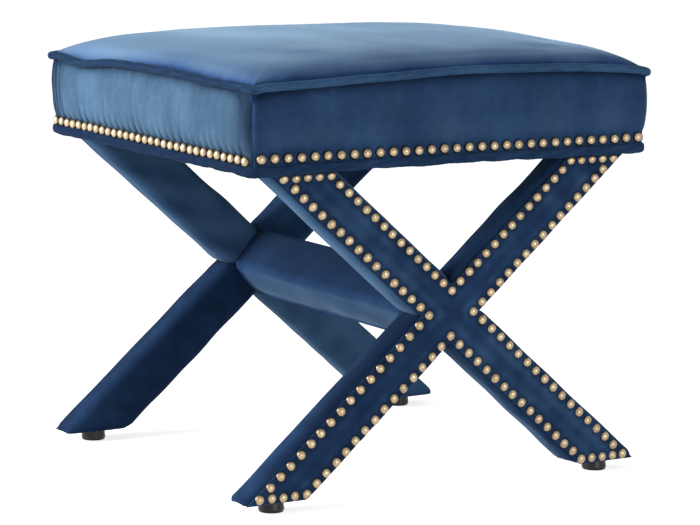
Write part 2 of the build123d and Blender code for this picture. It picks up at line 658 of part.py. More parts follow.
def make_stretcher():
    holes = [bolt_hole(face, place) for face in (FRONT, REAR) for place in bolt_places(face)]
    core = stretcher_prism(STRETCHER_CORE, 0, CORE_IN)
    save("stretcher_core", drill(core.solid(), holes))
    skin = STRETCHER_SIDE - 2 * VELVET
    pad = skin - 2 * SOFT_GAP
    outer = stretcher_prism(STRETCHER_SIDE, STRETCHER_RIDGE_RADIUS, STRETCHER_END)
    cover = outer - stretcher_prism(skin, STRETCHER_RIDGE_RADIUS - VELVET, ARM_OUT)
    for sx, name in ((-1, "left"), (1, "right")):
        x = sorted((sx * SEAM_GAP / 2, sx * FAR))
        save(f"stretcher_cover_{name}", one(cover & block(*x, -FAR, FAR, 0, FAR)))
    wadding = stretcher_prism(pad, STRETCHER_RIDGE_RADIUS - VELVET - SOFT_GAP, STRETCHER_END)
    save("stretcher_wadding", one(wadding - stretcher_prism(STRETCHER_CORE + 2 * SOFT_GAP, 0, ARM_OUT)))
    bolts, washers = [], []
    for face in (FRONT, REAR):
        for place in bolt_places(face):
            inward = (0, -face, 0)
            bolts.append(screw(BOLT, place, inward, BOLT_REACH))
            disc = rod(place, inward, WASHER_D, WASHER_THICK)
            washers.append(one(disc - rod(place, inward, BOLT["shank"] + 2 * HOLE_GAP, WASHER_THICK)))
    save("stretcher_bolts", *bolts)
    save("stretcher_washers", *washers)


def make_glides():
    holes = glide_screw_holes()
    screws = []
    for (name, x, y), hole in zip(glide_places(), holes):
        foot = Circle(GLIDE_D / 2 - GLIDE_FLARE)
        tread = Circle(GLIDE_D / 2)
        body = loft([Pos(x, y, GLIDE_HEIGHT) * foot, Pos(x, y, GLIDE_HEIGHT / 4) * tread], ruled=True)
        sole = loft([Pos(x, y, GLIDE_HEIGHT / 4) * tread, Pos(x, y, 0) * foot], ruled=True)
        save(f"glide_{name}", drill(one(body + sole), [hole]))
        screws.append(screw(GLIDE_SCREW, (x, y, GLIDE_SCREW["sink"]), UP, GLIDE_SCREW_REACH))
    save("glide_screws", *screws)


make_seat_frame()
make_dust_cover()
make_boxing()
make_welt("top", 0, TOP_WELT_HEIGHT, TOP_WELT_D)
make_welt("bottom", BOTTOM_WELT_OUT, BOTTOM_WELT_HEIGHT, BOTTOM_WELT_D)
make_cushion()
for frame_face, frame_name in ((FRONT, "front"), (REAR, "rear")):
    make_boards(frame_face, frame_name)
    make_leg_soft(frame_face, frame_name)
make_stretcher()
make_glides()
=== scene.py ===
import math

import bmesh
import bpy
import numpy as np
from mathutils import Matrix, Vector


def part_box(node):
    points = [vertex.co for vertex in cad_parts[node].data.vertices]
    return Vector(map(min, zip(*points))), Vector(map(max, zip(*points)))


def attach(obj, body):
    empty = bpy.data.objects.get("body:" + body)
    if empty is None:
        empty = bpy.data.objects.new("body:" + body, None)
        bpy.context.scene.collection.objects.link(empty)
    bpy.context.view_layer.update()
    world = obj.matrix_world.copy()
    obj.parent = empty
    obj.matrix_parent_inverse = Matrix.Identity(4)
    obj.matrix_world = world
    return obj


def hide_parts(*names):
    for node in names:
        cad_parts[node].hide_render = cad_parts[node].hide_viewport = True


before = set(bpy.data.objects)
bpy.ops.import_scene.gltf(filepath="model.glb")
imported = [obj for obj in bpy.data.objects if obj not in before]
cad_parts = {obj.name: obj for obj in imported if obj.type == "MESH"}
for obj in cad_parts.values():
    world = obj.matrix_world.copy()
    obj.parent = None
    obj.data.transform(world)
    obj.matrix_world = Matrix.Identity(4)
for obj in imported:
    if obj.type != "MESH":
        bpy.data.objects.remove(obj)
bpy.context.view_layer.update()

bl_info = {
    "name": "Upholstered cross-leg ottoman",
    "version": (1, 0, 0),
    "blender": (4, 5, 0),
    "location": "View3D > Sidebar > Ottoman",
    "description": "Velvet covers, decorative nails and finishes for the ottoman's frame",
    "category": "Object",
}

MM = 0.001


def cad_box(node):
    """Lowest and highest corner of a CAD node, in millimetres to a tenth."""
    return [[round(value / MM, 1) for value in corner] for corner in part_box(node)]


def middle_height(node):
    """Height of the middle of a CAD node, in millimetres."""
    low, high = cad_box(node)
    return (low[2] + high[2]) / 2


# Seat, in millimetres: the plan outline follows the welts' centre lines
CAD_WELT_RADIUS = 4.5
HALF_X = cad_box("top_welt")[1][0] - CAD_WELT_RADIUS
HALF_Y = cad_box("top_welt")[1][1] - CAD_WELT_RADIUS
CORNER_RADIUS = 10.0
SEAT_UNDERSIDE = cad_box("seat_rail_front")[0][2]
DECK_TOP = cad_box("seat_foam")[0][2]
TOP_WELT_Z = middle_height("top_welt")
TOP_WELT_RADIUS = 4.6
LIP_DROP = 0.3
LIP_Z = middle_height("bottom_welt") - LIP_DROP
LIP_HALF_DEPTH = 4.0
LIP_HALF_HEIGHT = 5.4
NAIL_ROW_Z = middle_height("seat_nails_front")
SIDE_ROW_LIFT = middle_height("seat_nails_left") - NAIL_ROW_Z

# Cloth under the seat, in millimetres: the velvet turned in under the rails, and the dust cover
FLAP_INSET = 20.5
FLAP_THICK = 0.4
FLAP_DROP = 0.5
DUST_COVER_Z = cad_box("dust_cover")[1][2]
DUST_COVER_HALF = cad_box("dust_cover")[1][:2]
DUST_COVER_NOTCH = (145.8, 182.5)
DUST_COVER_THICK = 0.8
DUST_COVER_SAG = 3.0
DUST_COVER_SLACK = (200.0, 180.0)

# Seat sides, in millimetres, the rows of points over their two bands, and the nails along each
BOXING_BOTTOM = SEAT_UNDERSIDE + 4.0
BOXING_TOP = TOP_WELT_Z - 3.0
BOXING_BACK = 4.0
NAIL_BAND_TOP = NAIL_ROW_Z + 14.5
NAIL_BAND_ROWS = 18
PLAIN_BAND_BOTTOM = NAIL_ROW_Z + 16.5
PLAIN_BAND_ROWS = 26
SWELL_TOP = TOP_WELT_Z - 5.0
SWELL_ABOVE_NAILS = 6.0
SIDE_SWELL = 3.4
SIDE_NAILS = 31
SIDE_NAIL_INSET = 12.0

# Seat cushion, in millimetres: its rim inside the welt's centre line, its points each way, its corners that
# are pulled out under the welt, and the groove beside the welt
CUSHION_INSET = 3.0
CUSHION_GRID = (150, 140)
CUSHION_CORNER = 4.0
TIP_REACH = 12.0
TIP_PULL = 3.2
GROOVE_DEPTH = 6.5
GROOVE_WIDTH = 3.2

# Powers that shape the cushion's crown: to its right, to its left, from front to rear, and over the whole
CROWN_RIGHT = 6.5
CROWN_LEFT = 4.3
CROWN_DEPTH = 3.4
CROWN_FLATNESS = 0.40

# Simulated cloth of the seat cushion: its grid, frames, pressure and stiffness
CLOTH_GRID = (56, 52)
CLOTH_FRAMES = 20
CLOTH_PRESSURE = 4.0
CLOTH_TENSION = 200.0

# The cloth's furthest lift, how much lower it starts, and the distances from a corner between which it
# comes free, in millimetres, then the passes that smooth its lift
CLOTH_CAP = 2.4
CLOTH_ROOM = 1.8
CLOTH_CORNER = (40.0, 150.0)
CLOTH_SMOOTHING = 8

# Leg frames, in millimetres
CROSSING_Z = middle_height("stretcher_cover_left")
ARM_ANGLE = math.radians(40.7)
SLOPE = math.tan(ARM_ANGLE)
ARM_HALF_WIDTH = 28.0
ARM_EDGE_RADIUS = 8.5
ARM_IN = cad_box("rear_wrap_upper_left")[0][1]
WRAP_OUT = cad_box("rear_wrap_upper_left")[1][1]
WRAP_GIRTH = 180.0
ARM_OUT = cad_box("rear_face_panel")[1][1]
LEG_TOP = cad_box("rear_wrap_upper_left")[1][2]
LEG_BOTTOM = cad_box("rear_wrap_lower_left")[0][2]
NAIL_OFFSET = 18.7

# Ends of the lower arms, in millimetres: rise of the blunt tip and of the inner corner, how far the velvet
# reaches below its CAD node, and the depth and height of its rounded hem
FOOT_TIP_RISE = 4.5
FOOT_INNER_RISE = 3.0
FOOT_REACH = 0.5
HEM_TUCK = 4.5
HEM_HEIGHT = 6.0

# Seams at the crossing, in millimetres: depth and width
SEAM_DEPTH = 1.8
SEAM_WIDTH = 2.6

# Leg panels, in millimetres across from an arm's middle: flat part, rolled edge, edge, edge at the back,
# and how far the back lies inside the arm's face
PANEL_FLAT = 20.0
PANEL_ROLL = 22.3
PANEL_EDGE = 24.5
PANEL_BACK = 24.3
PANEL_SUNK = 1.7

# A leg panel's edge, in millimetres: points across it, widths of its fold and its roll, ridge of the fold,
# and how far its rim is tucked below the arm's face
PANEL_EDGE_POINTS = (21.6, 23.0, 24.0, PANEL_EDGE)
PANEL_FOLD_WIDTH = 4.2
PANEL_ROLL_WIDTH = 2.25
PANEL_RIDGE = 22.4
PANEL_TUCK = 1.6

# Dimples in the leg panels, in millimetres: depth and reach round a nail
DIMPLE_DEPTH = 2.3
DIMPLE_REACH = 7.0

# Rows of points along an arm's wrap, a leg panel's arm and the stretcher
WRAP_ROWS = 92
PANEL_ROWS = 112
STRETCHER_ROWS = 150

# Stretcher, in millimetres
STRETCHER_SIDE = 54.0
STRETCHER_RIDGE_RADIUS = 11.0
STRETCHER_PUFF = 1.6
STRETCHER_END = cad_box("stretcher_cover_left")[1][1]

# Nails, in millimetres, their points round and outwards, and the way that each CAD node of nails faces
NAIL_RADIUS = 5.5
NAIL_SIDES = 20
NAIL_RINGS = 8
NAIL_RISE = round(cad_box("rear_leg_nails")[1][1] - ARM_OUT, 1)
NAIL_ROWS = (
    ("seat_nails_front", (0, -1, 0)),
    ("seat_nails_right", (1, 0, 0)),
    ("seat_nails_rear", (0, 1, 0)),
    ("seat_nails_left", (-1, 0, 0)),
    ("front_leg_nails", (0, -1, 0)),
    ("rear_leg_nails", (0, 1, 0)),
)

# Velvet: roughness and the strength of its pile's bump
VELVET_ROUGHNESS = 0.85
PILE_BUMP = 0.25

# Lit and shaded copies of the velvet, with painted light and shade in their colours: red, green and blue
# against the plain colour, the same against the brushed colour, which is the painted light colour, the
# light that the pile's tips catch, and how widely they spread it
LIT_AND_SHADED_LAYS = {
    # across and welt are painted lighter, lip and legs darker, to stand for how light falls on them
    "top": ((1.02, 1.08, 1.28), (1.15, 1.25, 1.32), 0.41, 0.235),
    "across": ((2.85, 2.2, 1.48), (1.0, 1.0, 1.0), 0.35, 0.33),
    "down": ((1.15, 1.12, 1.1), (0.5, 0.6, 0.75), 0.9, 0.33),
    "welt": ((1.9, 1.75, 1.5), (0.5, 0.6, 0.75), 0.06, 0.33),
    "lip": ((0.72, 0.74, 0.74), (0.5, 0.6, 0.75), 0.06, 0.33),
    "legs": ((0.74, 0.77, 0.8), (0.41, 0.60, 0.79), 0.16, 0.33),
}

# The four sides of the seat: turn about Z, half length, half distance to the face, pull depth, row lift
SIDES = {
    "front": (0, HALF_X, HALF_Y, 0.3, 0.0),
    "right": (90, HALF_Y, HALF_X, 0.8, SIDE_ROW_LIFT),
    "rear": (180, HALF_X, HALF_Y, 0.5, 0.0),
    "left": (270, HALF_Y, HALF_X, 1.0, SIDE_ROW_LIFT),
}

# How the top welt bows along each side: heights in millimetres, middles and widths as shares of the side
WELT_BOWS = {
    "front": ((10.5, 0.2, 0.9),),
    "right": ((6.0, 0.0, 0.6),),
    "rear": ((6.0, 0.0, 0.6),),
    "left": ((3.5, 0.1, 0.45), (-4.5, -0.68, 0.2)),
}

# Painted light and shade on each arm's wrap: how much lighter or darker the whole arm is painted, and how
# much painted shade darkens its sides next to the panel
ARM_PAINTED_LIGHT = {
    "velvet_rear_upper_left": (1.48, 0.36),
    "velvet_rear_lower_left": (0.68, 0.42),
    "velvet_rear_lower_right": (1.72, 0.3),
    "velvet_front_upper_left": (1.95, 0.15),
    "velvet_front_lower_left": (1.18, 0.95),
    "velvet_front_lower_right": (1.4, 0.3),
}
PLAIN_ARM = (1.0, 0.42)

# How much painted light pales a leg panel's arms (below 0, painted shade darkens them), by side (-1 is
# left) and level (1 is upper)
PANEL_PAINTED_LIGHT = {(-1, 1): 0.16, (1, -1): 0.22, (-1, -1): -0.08}

# How much painted shade darkens each side's velvet at its first and last corner
CORNER_SHADES = {"front": (0.45, 0.1), "right": (0.2, 0.2), "rear": (0.3, 0.3), "left": (0.3, 1.15)}

# How strongly each side's velvet is gathered at its first and last corner
CORNER_GATHERS = {"front": (0.3, 0.6), "right": (0.6, 0.8), "rear": (0.8, 1.3), "left": (1.6, 0.1)}

# Deeper gathers near a side's first corner: distance from the seam and depth, in millimetres
GATHERS = {
    "left": ((5.0, 2.4), (11.0, 2.6), (18.0, 1.8), (27.0, 0.9)),
    "rear": ((6.0, 1.2), (13.0, 0.9)),
}


class OttomanSizes(bpy.types.PropertyGroup):
    """Sizes of the upholstery that a user would change"""
    crown_rise: bpy.props.FloatProperty(
        name="Crown rise", description="Height of the seat's middle above its welt",
        default=33.0 * MM, min=0, subtype="DISTANCE", unit="LENGTH")
    wrinkle_depth: bpy.props.FloatProperty(
        name="Wrinkle depth", description="Depth of the pull lines above the seat's nails",
        default=0.9 * MM, min=0, subtype="DISTANCE", unit="LENGTH")
    panel_puff: bpy.props.FloatProperty(
        name="Panel puff", description="How far the leg panels swell between their nail rows",
        default=1.5 * MM, min=0, subtype="DISTANCE", unit="LENGTH")
    wrap_puff: bpy.props.FloatProperty(
        name="Wrap puff", description="How far the velvet round the legs swells over its wadding",
        default=1.6 * MM, min=0, subtype="DISTANCE", unit="LENGTH")
    nail_tilt: bpy.props.FloatProperty(
        name="Nail tilt", description="Largest lean of a hand-driven nail",
        default=math.radians(5), min=0, subtype="ANGLE", unit="ROTATION")
    nail_shift: bpy.props.FloatProperty(
        name="Nail shift", description="Largest shift of a hand-driven nail from its mark",
        default=0.35 * MM, min=0, subtype="DISTANCE", unit="LENGTH")


class OttomanColours(bpy.types.PropertyGroup):
    """Colours of the velvet, the nails, the glides and the frame"""
    # Painted shade: the colour that creases, corners and other shaded places are mixed towards
    velvet_painted_shade: bpy.props.FloatVectorProperty(
        name="Velvet, dark", description="Velvet in creases and where its pile stands away from the light",
        default=(0.0035, 0.0105, 0.030), size=3, min=0, max=1, subtype="COLOR")
    velvet_deep: bpy.props.FloatVectorProperty(
        name="Velvet, deep", description="Velvet where its pile is brushed away from the eye",
        default=(0.0135, 0.036, 0.090), size=3, min=0, max=1, subtype="COLOR")
    velvet_light: bpy.props.FloatVectorProperty(
        name="Velvet, light", description="Velvet where its pile is brushed towards the eye",
        default=(0.0225, 0.058, 0.140), size=3, min=0, max=1, subtype="COLOR")
    # Painted light: the pale colour that lit places, such as the left faces and slopes, are mixed towards
    velvet_painted_light: bpy.props.FloatVectorProperty(
        name="Velvet, brushed", description="Velvet where its pile is stroked flat and pale",
        default=(0.120, 0.185, 0.265), size=3, min=0, max=1, subtype="COLOR")
    velvet_sheen: bpy.props.FloatVectorProperty(
        name="Velvet sheen", description="Tint of the light that the pile's tips catch",
        default=(0.52, 0.77, 0.97), size=3, min=0, max=1, subtype="COLOR")
    brass: bpy.props.FloatVectorProperty(
        name="Brass", description="Clean metal of the decorative nails",
        default=(0.475, 0.37, 0.238), size=3, min=0, max=1, subtype="COLOR")
    plastic: bpy.props.FloatVectorProperty(
        name="Glide plastic", description="Black plastic of the glides",
        default=(0.006, 0.006, 0.007), size=3, min=0, max=1, subtype="COLOR")
    wood: bpy.props.FloatVectorProperty(
        name="Frame wood", description="Wood of the hidden frame",
        default=(0.42, 0.27, 0.14), size=3, min=0, max=1, subtype="COLOR")


# Shapes
def waves(position, seed, lengths, period=None):
    """A smooth uneven line within about -1 to 1: sines with seeded phases that close on a given period."""
    rng = np.random.default_rng(seed)
    total = np.zeros_like(position, dtype=float)
    for length in lengths:
        if period:
            length = period / max(1, round(period / length))
        total += rng.uniform(0.6, 1.0) * np.sin(2 * np.pi * position / length + rng.uniform(0, 2 * np.pi))
    return total / len(lengths) ** 0.5


def ripples(x, y, seed, length, count=7):
    """A smooth uneven surface within about -1 to 1: crossing waves in seeded directions."""
    rng = np.random.default_rng(seed)
    total = np.zeros_like(x, dtype=float)
    for _ in range(count):
        turn = rng.uniform(0, 2 * np.pi)
        step = 2 * np.pi / (length * rng.uniform(0.7, 1.5))
        total += np.sin(step * (x * np.cos(turn) + y * np.sin(turn)) + rng.uniform(0, 2 * np.pi))
    return total / count ** 0.5


def bump(distance, width):
    """A soft bump of height 1 at distance 0."""
    return np.exp(-(distance / width) ** 2)


def fade(distance, width):
    """1 at distance 0, dying away over about the width."""
    return np.exp(-distance / width)


def ramp(distance, width):
    """0 at distance 0 or less, rising evenly to 1 at the width."""
    return np.clip(distance / width, 0, 1)


def rounded(share):
    """A quarter of a circle: 1 at share 0 or less, falling to 0 at share 1."""
    return np.sqrt(1 - np.clip(share, 0, 1) ** 2)


def grid_faces(rows, cols, wrap_rows=False, wrap_cols=False, first=0):
    """Quads over a grid of points numbered row by row."""
    r = np.arange(rows if wrap_rows else rows - 1)
    c = np.arange(cols if wrap_cols else cols - 1)
    r, c = np.meshgrid(r, c, indexing="ij")
    r2, c2 = (r + 1) % rows, (c + 1) % cols
    quads = np.stack([r * cols + c, r * cols + c2, r2 * cols + c2, r2 * cols + c], -1)
    return (quads.reshape(-1, 4) + first).tolist()


def tube(points):
    """Vertices and faces of a closed tube: a grid of sections, closed round, with a fan at each end."""
    rows, cols = points.shape[:2]
    faces = grid_faces(rows, cols, wrap_cols=True)
    verts = points.reshape(-1, 3)
    for row in (0, rows - 1):
        centre = len(verts)
        verts = np.vstack([verts, points[row].mean(axis=0)])
        ids = row * cols + np.arange(cols)
        faces += [[int(a), int(b), centre] for a, b in zip(ids, np.roll(ids, -1))]
    return verts, faces


def make_piece(name, verts, faces, material, replaced, merge=0.0, sharp=70, nap_and_painted_light=None):
    """A named mesh of points in millimetres, which rides on the body and stands for some CAD nodes."""
    mesh = bpy.data.meshes.new(name)
    mesh.from_pydata((np.asarray(verts) * MM).tolist(), [], faces)
    # Per-point painted light and shade, with random marks in the nap, for the Nap group to mix in
    lay = np.ones(len(mesh.vertices), dtype=np.float32)
    if nap_and_painted_light is not None:
        lay[:np.size(nap_and_painted_light)] = np.ravel(nap_and_painted_light)
    mesh.attributes.new("nap_and_painted_light", "FLOAT", "POINT").data.foreach_set("value", lay)
    work = bmesh.new()
    work.from_mesh(mesh)
    if merge:
        bmesh.ops.remove_doubles(work, verts=work.verts, dist=merge * MM)
    bmesh.ops.recalc_face_normals(work, faces=work.faces)
    work.to_mesh(mesh)
    work.free()
    mesh.shade_smooth()
    mesh.set_sharp_from_angle(angle=math.radians(sharp))
    mesh.materials.append(material)
    piece = bpy.data.objects.new(name, mesh)
    bpy.context.scene.collection.objects.link(piece)
    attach(piece, "root")
    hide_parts(*replaced)
    return piece


# Materials
def new_material(name):
    """A material with its Principled shader, and its node tree."""
    material = bpy.data.materials.new(name)
    material.use_nodes = True
    tree = material.node_tree
    return material, tree, tree.nodes["Principled BSDF"]


def new_group(name, inputs, outputs):
    """A shader node group with its sockets made, and its two end nodes."""
    group = bpy.data.node_groups.new(name, "ShaderNodeTree")
    for socket, kind, value in inputs:
        made = group.interface.new_socket(socket, in_out="INPUT", socket_type=kind)
        made.default_value = value
    for socket, kind in outputs:
        group.interface.new_socket(socket, in_out="OUTPUT", socket_type=kind)
    return group, group.nodes.new("NodeGroupInput"), group.nodes.new("NodeGroupOutput")


def add_noise(tree, coords, scale, detail, stretch=(1, 1, 1)):
    """The value of a noise texture over stretched coordinates."""
    mapping = tree.nodes.new("ShaderNodeMapping")
    mapping.inputs["Scale"].default_value = stretch
    noise = tree.nodes.new("ShaderNodeTexNoise")
    noise.inputs["Scale"].default_value = scale
    noise.inputs["Detail"].default_value = detail
    tree.links.new(coords, mapping.inputs["Vector"])
    tree.links.new(mapping.outputs["Vector"], noise.inputs["Vector"])
    return noise.outputs["Fac"]


def add_range(tree, value, low, high, out_low=0.0, out_high=1.0):
    """A map-range node from one span to another."""
    node = tree.nodes.new("ShaderNodeMapRange")
    ends = (("From Min", low), ("From Max", high), ("To Min", out_low), ("To Max", out_high))
    for socket, number in ends:
        node.inputs[socket].default_value = number
    tree.links.new(value, node.inputs["Value"])
    return node.outputs["Result"]


def add_mix(tree, factor, first, second):
    """A colour mix of two sockets."""
    node = tree.nodes.new("ShaderNodeMix")
    node.data_type = "RGBA"
    tree.links.new(factor, node.inputs[0])
    tree.links.new(first, node.inputs[6])
    tree.links.new(second, node.inputs[7])
    return node.outputs[2]


def add_math(tree, operation, first, second):
    """A maths node on two sockets, or on a socket and a number."""
    node = tree.nodes.new("ShaderNodeMath")
    node.operation = operation
    for socket, value in zip(node.inputs, (first, second)):
        if isinstance(value, (int, float)):
            socket.default_value = value
        else:
            tree.links.new(value, socket)
    return node.outputs[0]


def nap_group():
    """Random brush marks in a pile or a loose weave, painted light and shade mixed in from each piece's
    attribute, and the height of its fibres.
    """
    if "Nap" in bpy.data.node_groups:
        return bpy.data.node_groups["Nap"]
    white = (1, 1, 1, 1)
    group, start, end = new_group(
        "Nap",
        [("Dark", "NodeSocketColor", white), ("Deep", "NodeSocketColor", white),
         ("Light", "NodeSocketColor", white), ("PaintedLight", "NodeSocketColor", white)],
        [("Colour", "NodeSocketColor"), ("Height", "NodeSocketFloat")])
    coords = group.nodes.new("ShaderNodeTexCoord").outputs["Object"]
    attribute = group.nodes.new("ShaderNodeAttribute")
    attribute.attribute_name = "nap_and_painted_light"
    nap_and_painted_light = attribute.outputs["Fac"]
    broad = add_noise(group, coords, scale=11, detail=3, stretch=(1, 1, 0.6))
    streaks = add_noise(group, coords, scale=60, detail=2, stretch=(1, 1, 0.12))
    fibres = add_noise(group, coords, scale=1400, detail=1)
    mottle = add_noise(group, coords, scale=95, detail=3)
    marks = add_math(group, "ADD", add_math(group, "MULTIPLY", broad, 0.55),
                     add_math(group, "MULTIPLY", streaks, 0.2))
    marks = add_math(group, "ADD", marks, add_math(group, "MULTIPLY", mottle, 0.25))
    mask = add_range(group, marks, 0.38, 0.62)
    fine = add_range(group, fibres, 0.3, 0.7, 0.0, 0.35)
    nap = add_math(group, "SUBTRACT", mask, fine)
    colour = add_mix(group, nap, start.outputs["Deep"], start.outputs["Light"])
    # Painted shade below 1 towards the dark colour, painted light above 1 towards the pale one
    colour = add_mix(group, add_range(group, nap_and_painted_light, 0.0, 1.0), start.outputs["Dark"], colour)
    colour = add_mix(group, add_range(group, nap_and_painted_light, 1.0, 2.0), colour, start.outputs["PaintedLight"])
    height = add_math(group, "ADD", fibres, add_math(group, "MULTIPLY", streaks, 0.6))
    group.links.new(colour, end.inputs["Colour"])
    group.links.new(height, end.inputs["Height"])
    return group


def wear_group():
    """Tarnish in soft patches, painted shade round the rims of nail heads, and fine handling marks, for
    metals and plastic.
    """
    if "Wear" in bpy.data.node_groups:
        return bpy.data.node_groups["Wear"]
    group, start, end = new_group(
        "Wear",
        [("Clean", "NodeSocketColor", (1, 1, 1, 1)), ("Worn", "NodeSocketColor", (0, 0, 0, 1)),
         ("Smooth", "NodeSocketFloat", 0.2), ("Rough", "NodeSocketFloat", 0.5)],
        [("Colour", "NodeSocketColor"), ("Roughness", "NodeSocketFloat")])
    coords = group.nodes.new("ShaderNodeTexCoord").outputs["Object"]
    patches = add_range(group, add_noise(group, coords, scale=140, detail=3), 0.35, 0.7)
    marks = add_range(group, add_noise(group, coords, scale=900, detail=2), 0.3, 0.75)
    rim = group.nodes.new("ShaderNodeAttribute")
    rim.attribute_name = "rim"
    # The rim mask paints shade round the edges of the nail heads
    mask = add_math(group, "MAXIMUM", add_math(group, "MULTIPLY", patches, marks), rim.outputs["Fac"])
    colour = add_mix(group, mask, start.outputs["Clean"], start.outputs["Worn"])
    span = add_math(group, "SUBTRACT", start.outputs["Rough"], start.outputs["Smooth"])
    rough = add_math(group, "ADD", start.outputs["Smooth"], add_math(group, "MULTIPLY", span, marks))
    group.links.new(colour, end.inputs["Colour"])
    group.links.new(rough, end.inputs["Roughness"])
    return group


def grain_group():
    """Wood grain along X, with darker lines between lighter bands."""
    if "Grain" in bpy.data.node_groups:
        return bpy.data.node_groups["Grain"]
    group, start, end = new_group(
        "Grain",
        [("Wood", "NodeSocketColor", (1, 1, 1, 1)), ("Line", "NodeSocketColor", (0, 0, 0, 1))],
        [("Colour", "NodeSocketColor"), ("Height", "NodeSocketFloat")])
    coords = group.nodes.new("ShaderNodeTexCoord").outputs["Object"]
    bands = add_noise(group, coords, scale=26, detail=4, stretch=(0.12, 1, 1))
    pores = add_noise(group, coords, scale=420, detail=2, stretch=(0.05, 1, 1))
    band_mask = add_range(group, bands, 0.4, 0.68)
    mask = add_math(group, "MULTIPLY", band_mask, add_range(group, pores, 0.25, 0.7))
    colour = add_mix(group, mask, start.outputs["Wood"], start.outputs["Line"])
    group.links.new(colour, end.inputs["Colour"])
    group.links.new(pores, end.inputs["Height"])
    return group


def place_group(tree, group, colours=(), values=()):
    """A group node in a material with its own values."""
    node = tree.nodes.new("ShaderNodeGroup")
    node.node_tree = group
    for socket, colour in colours:
        node.inputs[socket].default_value = (*colour, 1)
    for socket, value in values:
        node.inputs[socket].default_value = value
    return node


def add_bump(tree, height, shader, strength, distance):
    """A bump from a height socket into a shader's normal."""
    node = tree.nodes.new("ShaderNodeBump")
    node.inputs["Strength"].default_value = strength
    node.inputs["Distance"].default_value = distance
    tree.links.new(height, node.inputs["Height"])
    tree.links.new(node.outputs["Normal"], shader.inputs["Normal"])


def fibre_material(name, dark, deep, light, brushed, sheen, sheen_weight, sheen_roughness, rough, strength):
    """A cloth with a nap: its marks from the shared group, its sheen as constants."""
    if name in bpy.data.materials:
        return bpy.data.materials[name]
    material, tree, shader = new_material(name)
    # Dark is the painted shade colour and brushed the painted light colour
    shades = [("Dark", dark), ("Deep", deep), ("Light", light), ("PaintedLight", brushed)]
    nap = place_group(tree, nap_group(), shades)
    tree.links.new(nap.outputs["Colour"], shader.inputs["Base Color"])
    add_bump(tree, nap.outputs["Height"], shader, strength, distance=0.0004)
    shader.inputs["Roughness"].default_value = rough
    shader.inputs["Specular IOR Level"].default_value = 0.04
    shader.inputs["Sheen Weight"].default_value = sheen_weight
    shader.inputs["Sheen Roughness"].default_value = sheen_roughness
    shader.inputs["Sheen Tint"].default_value = (*sheen, 1)
    return material


def velvet(lay):
    """Velvet in one of a few copies with painted light or shade in their colours, each with its own sheen.
    """
    colours = bpy.context.scene.ottoman_colours
    shade, painted_light_shade, sheen, sheen_spread = LIT_AND_SHADED_LAYS[lay]
    # Painted light and shade: the copy's multipliers scale the plain colours and the painted light colour
    deep = [s * c for s, c in zip(shade, colours.velvet_deep)]
    light = [s * c for s, c in zip(shade, colours.velvet_light)]
    brushed = [s * c for s, c in zip(painted_light_shade, colours.velvet_painted_light)]
    return fibre_material(f"Velvet {lay}", colours.velvet_painted_shade, deep, light, brushed,
                          colours.velvet_sheen, sheen, sheen_spread, VELVET_ROUGHNESS, PILE_BUMP)


def worn_material(name, clean, worn, metallic, smooth, rough, specular=0.5):
    """A metal or plastic with the shared wear."""
    if name in bpy.data.materials:
        return bpy.data.materials[name]
    material, tree, shader = new_material(name)
    wear = place_group(tree, wear_group(), [("Clean", clean), ("Worn", worn)],
                       [("Smooth", smooth), ("Rough", rough)])
    tree.links.new(wear.outputs["Colour"], shader.inputs["Base Color"])
    tree.links.new(wear.outputs["Roughness"], shader.inputs["Roughness"])
    shader.inputs["Metallic"].default_value = metallic
    shader.inputs["Specular IOR Level"].default_value = specular
    return material


def wood_material(name, wood, line):
    """Bare sawn wood or plywood with the shared grain."""
    if name in bpy.data.materials:
        return bpy.data.materials[name]
    material, tree, shader = new_material(name)
    grain = place_group(tree, grain_group(), [("Wood", wood), ("Line", line)])
    tree.links.new(grain.outputs["Colour"], shader.inputs["Base Color"])
    add_bump(tree, grain.outputs["Height"], shader, strength=0.3, distance=0.0006)
    shader.inputs["Roughness"].default_value = 0.75
    return material


# Seat
def side_stations(half_length, half_out, step, corner_points):
    """One side of the seat's plan at -Y, between corner seams: points, outward normals, distance run."""
    radius = CORNER_RADIUS
    straight = half_length - radius
    count = int(2 * straight / step)
    arc = np.radians(np.linspace(225, 270, corner_points, endpoint=False))
    left = np.stack([-straight + radius * np.cos(arc), radius - half_out + radius * np.sin(arc)], 1)
    run = np.stack([np.linspace(-straight, straight, count), np.full(count, -half_out)], 1)
    points = np.vstack([left, run, left[::-1] * (-1, 1)])
    left_normal = np.stack([np.cos(arc), np.sin(arc)], 1)
    normals = np.vstack([left_normal, np.tile((0.0, -1.0), (count, 1)), left_normal[::-1] * (-1, 1)])
    along = np.concatenate([[0], np.cumsum(np.hypot(*np.diff(points, axis=0).T))])
    return points, normals, along - along[-1] / 2


def turned(points, degrees):
    """Points turned about Z."""
    c = math.cos(math.radians(degrees))
    s = math.sin(math.radians(degrees))
    out = np.array(points, dtype=float)
    out[..., 0] = c * points[..., 0] - s * points[..., 1]
    out[..., 1] = s * points[..., 0] + c * points[..., 1]
    return out


def perimeter():
    """The seat's whole plan outline: points, normals, distance run and the length round it."""
    points, normals = [], []
    for turn, half_length, half_out, *_ in SIDES.values():
        side, normal, _ = side_stations(half_length, half_out, step=2.6, corner_points=7)
        points.append(turned(side, turn))
        normals.append(turned(normal, turn))
    points, normals = np.vstack(points), np.vstack(normals)
    gaps = np.hypot(*(np.roll(points, -1, axis=0) - points).T)
    return points, normals, np.concatenate([[0], np.cumsum(gaps)[:-1]]), gaps.sum()


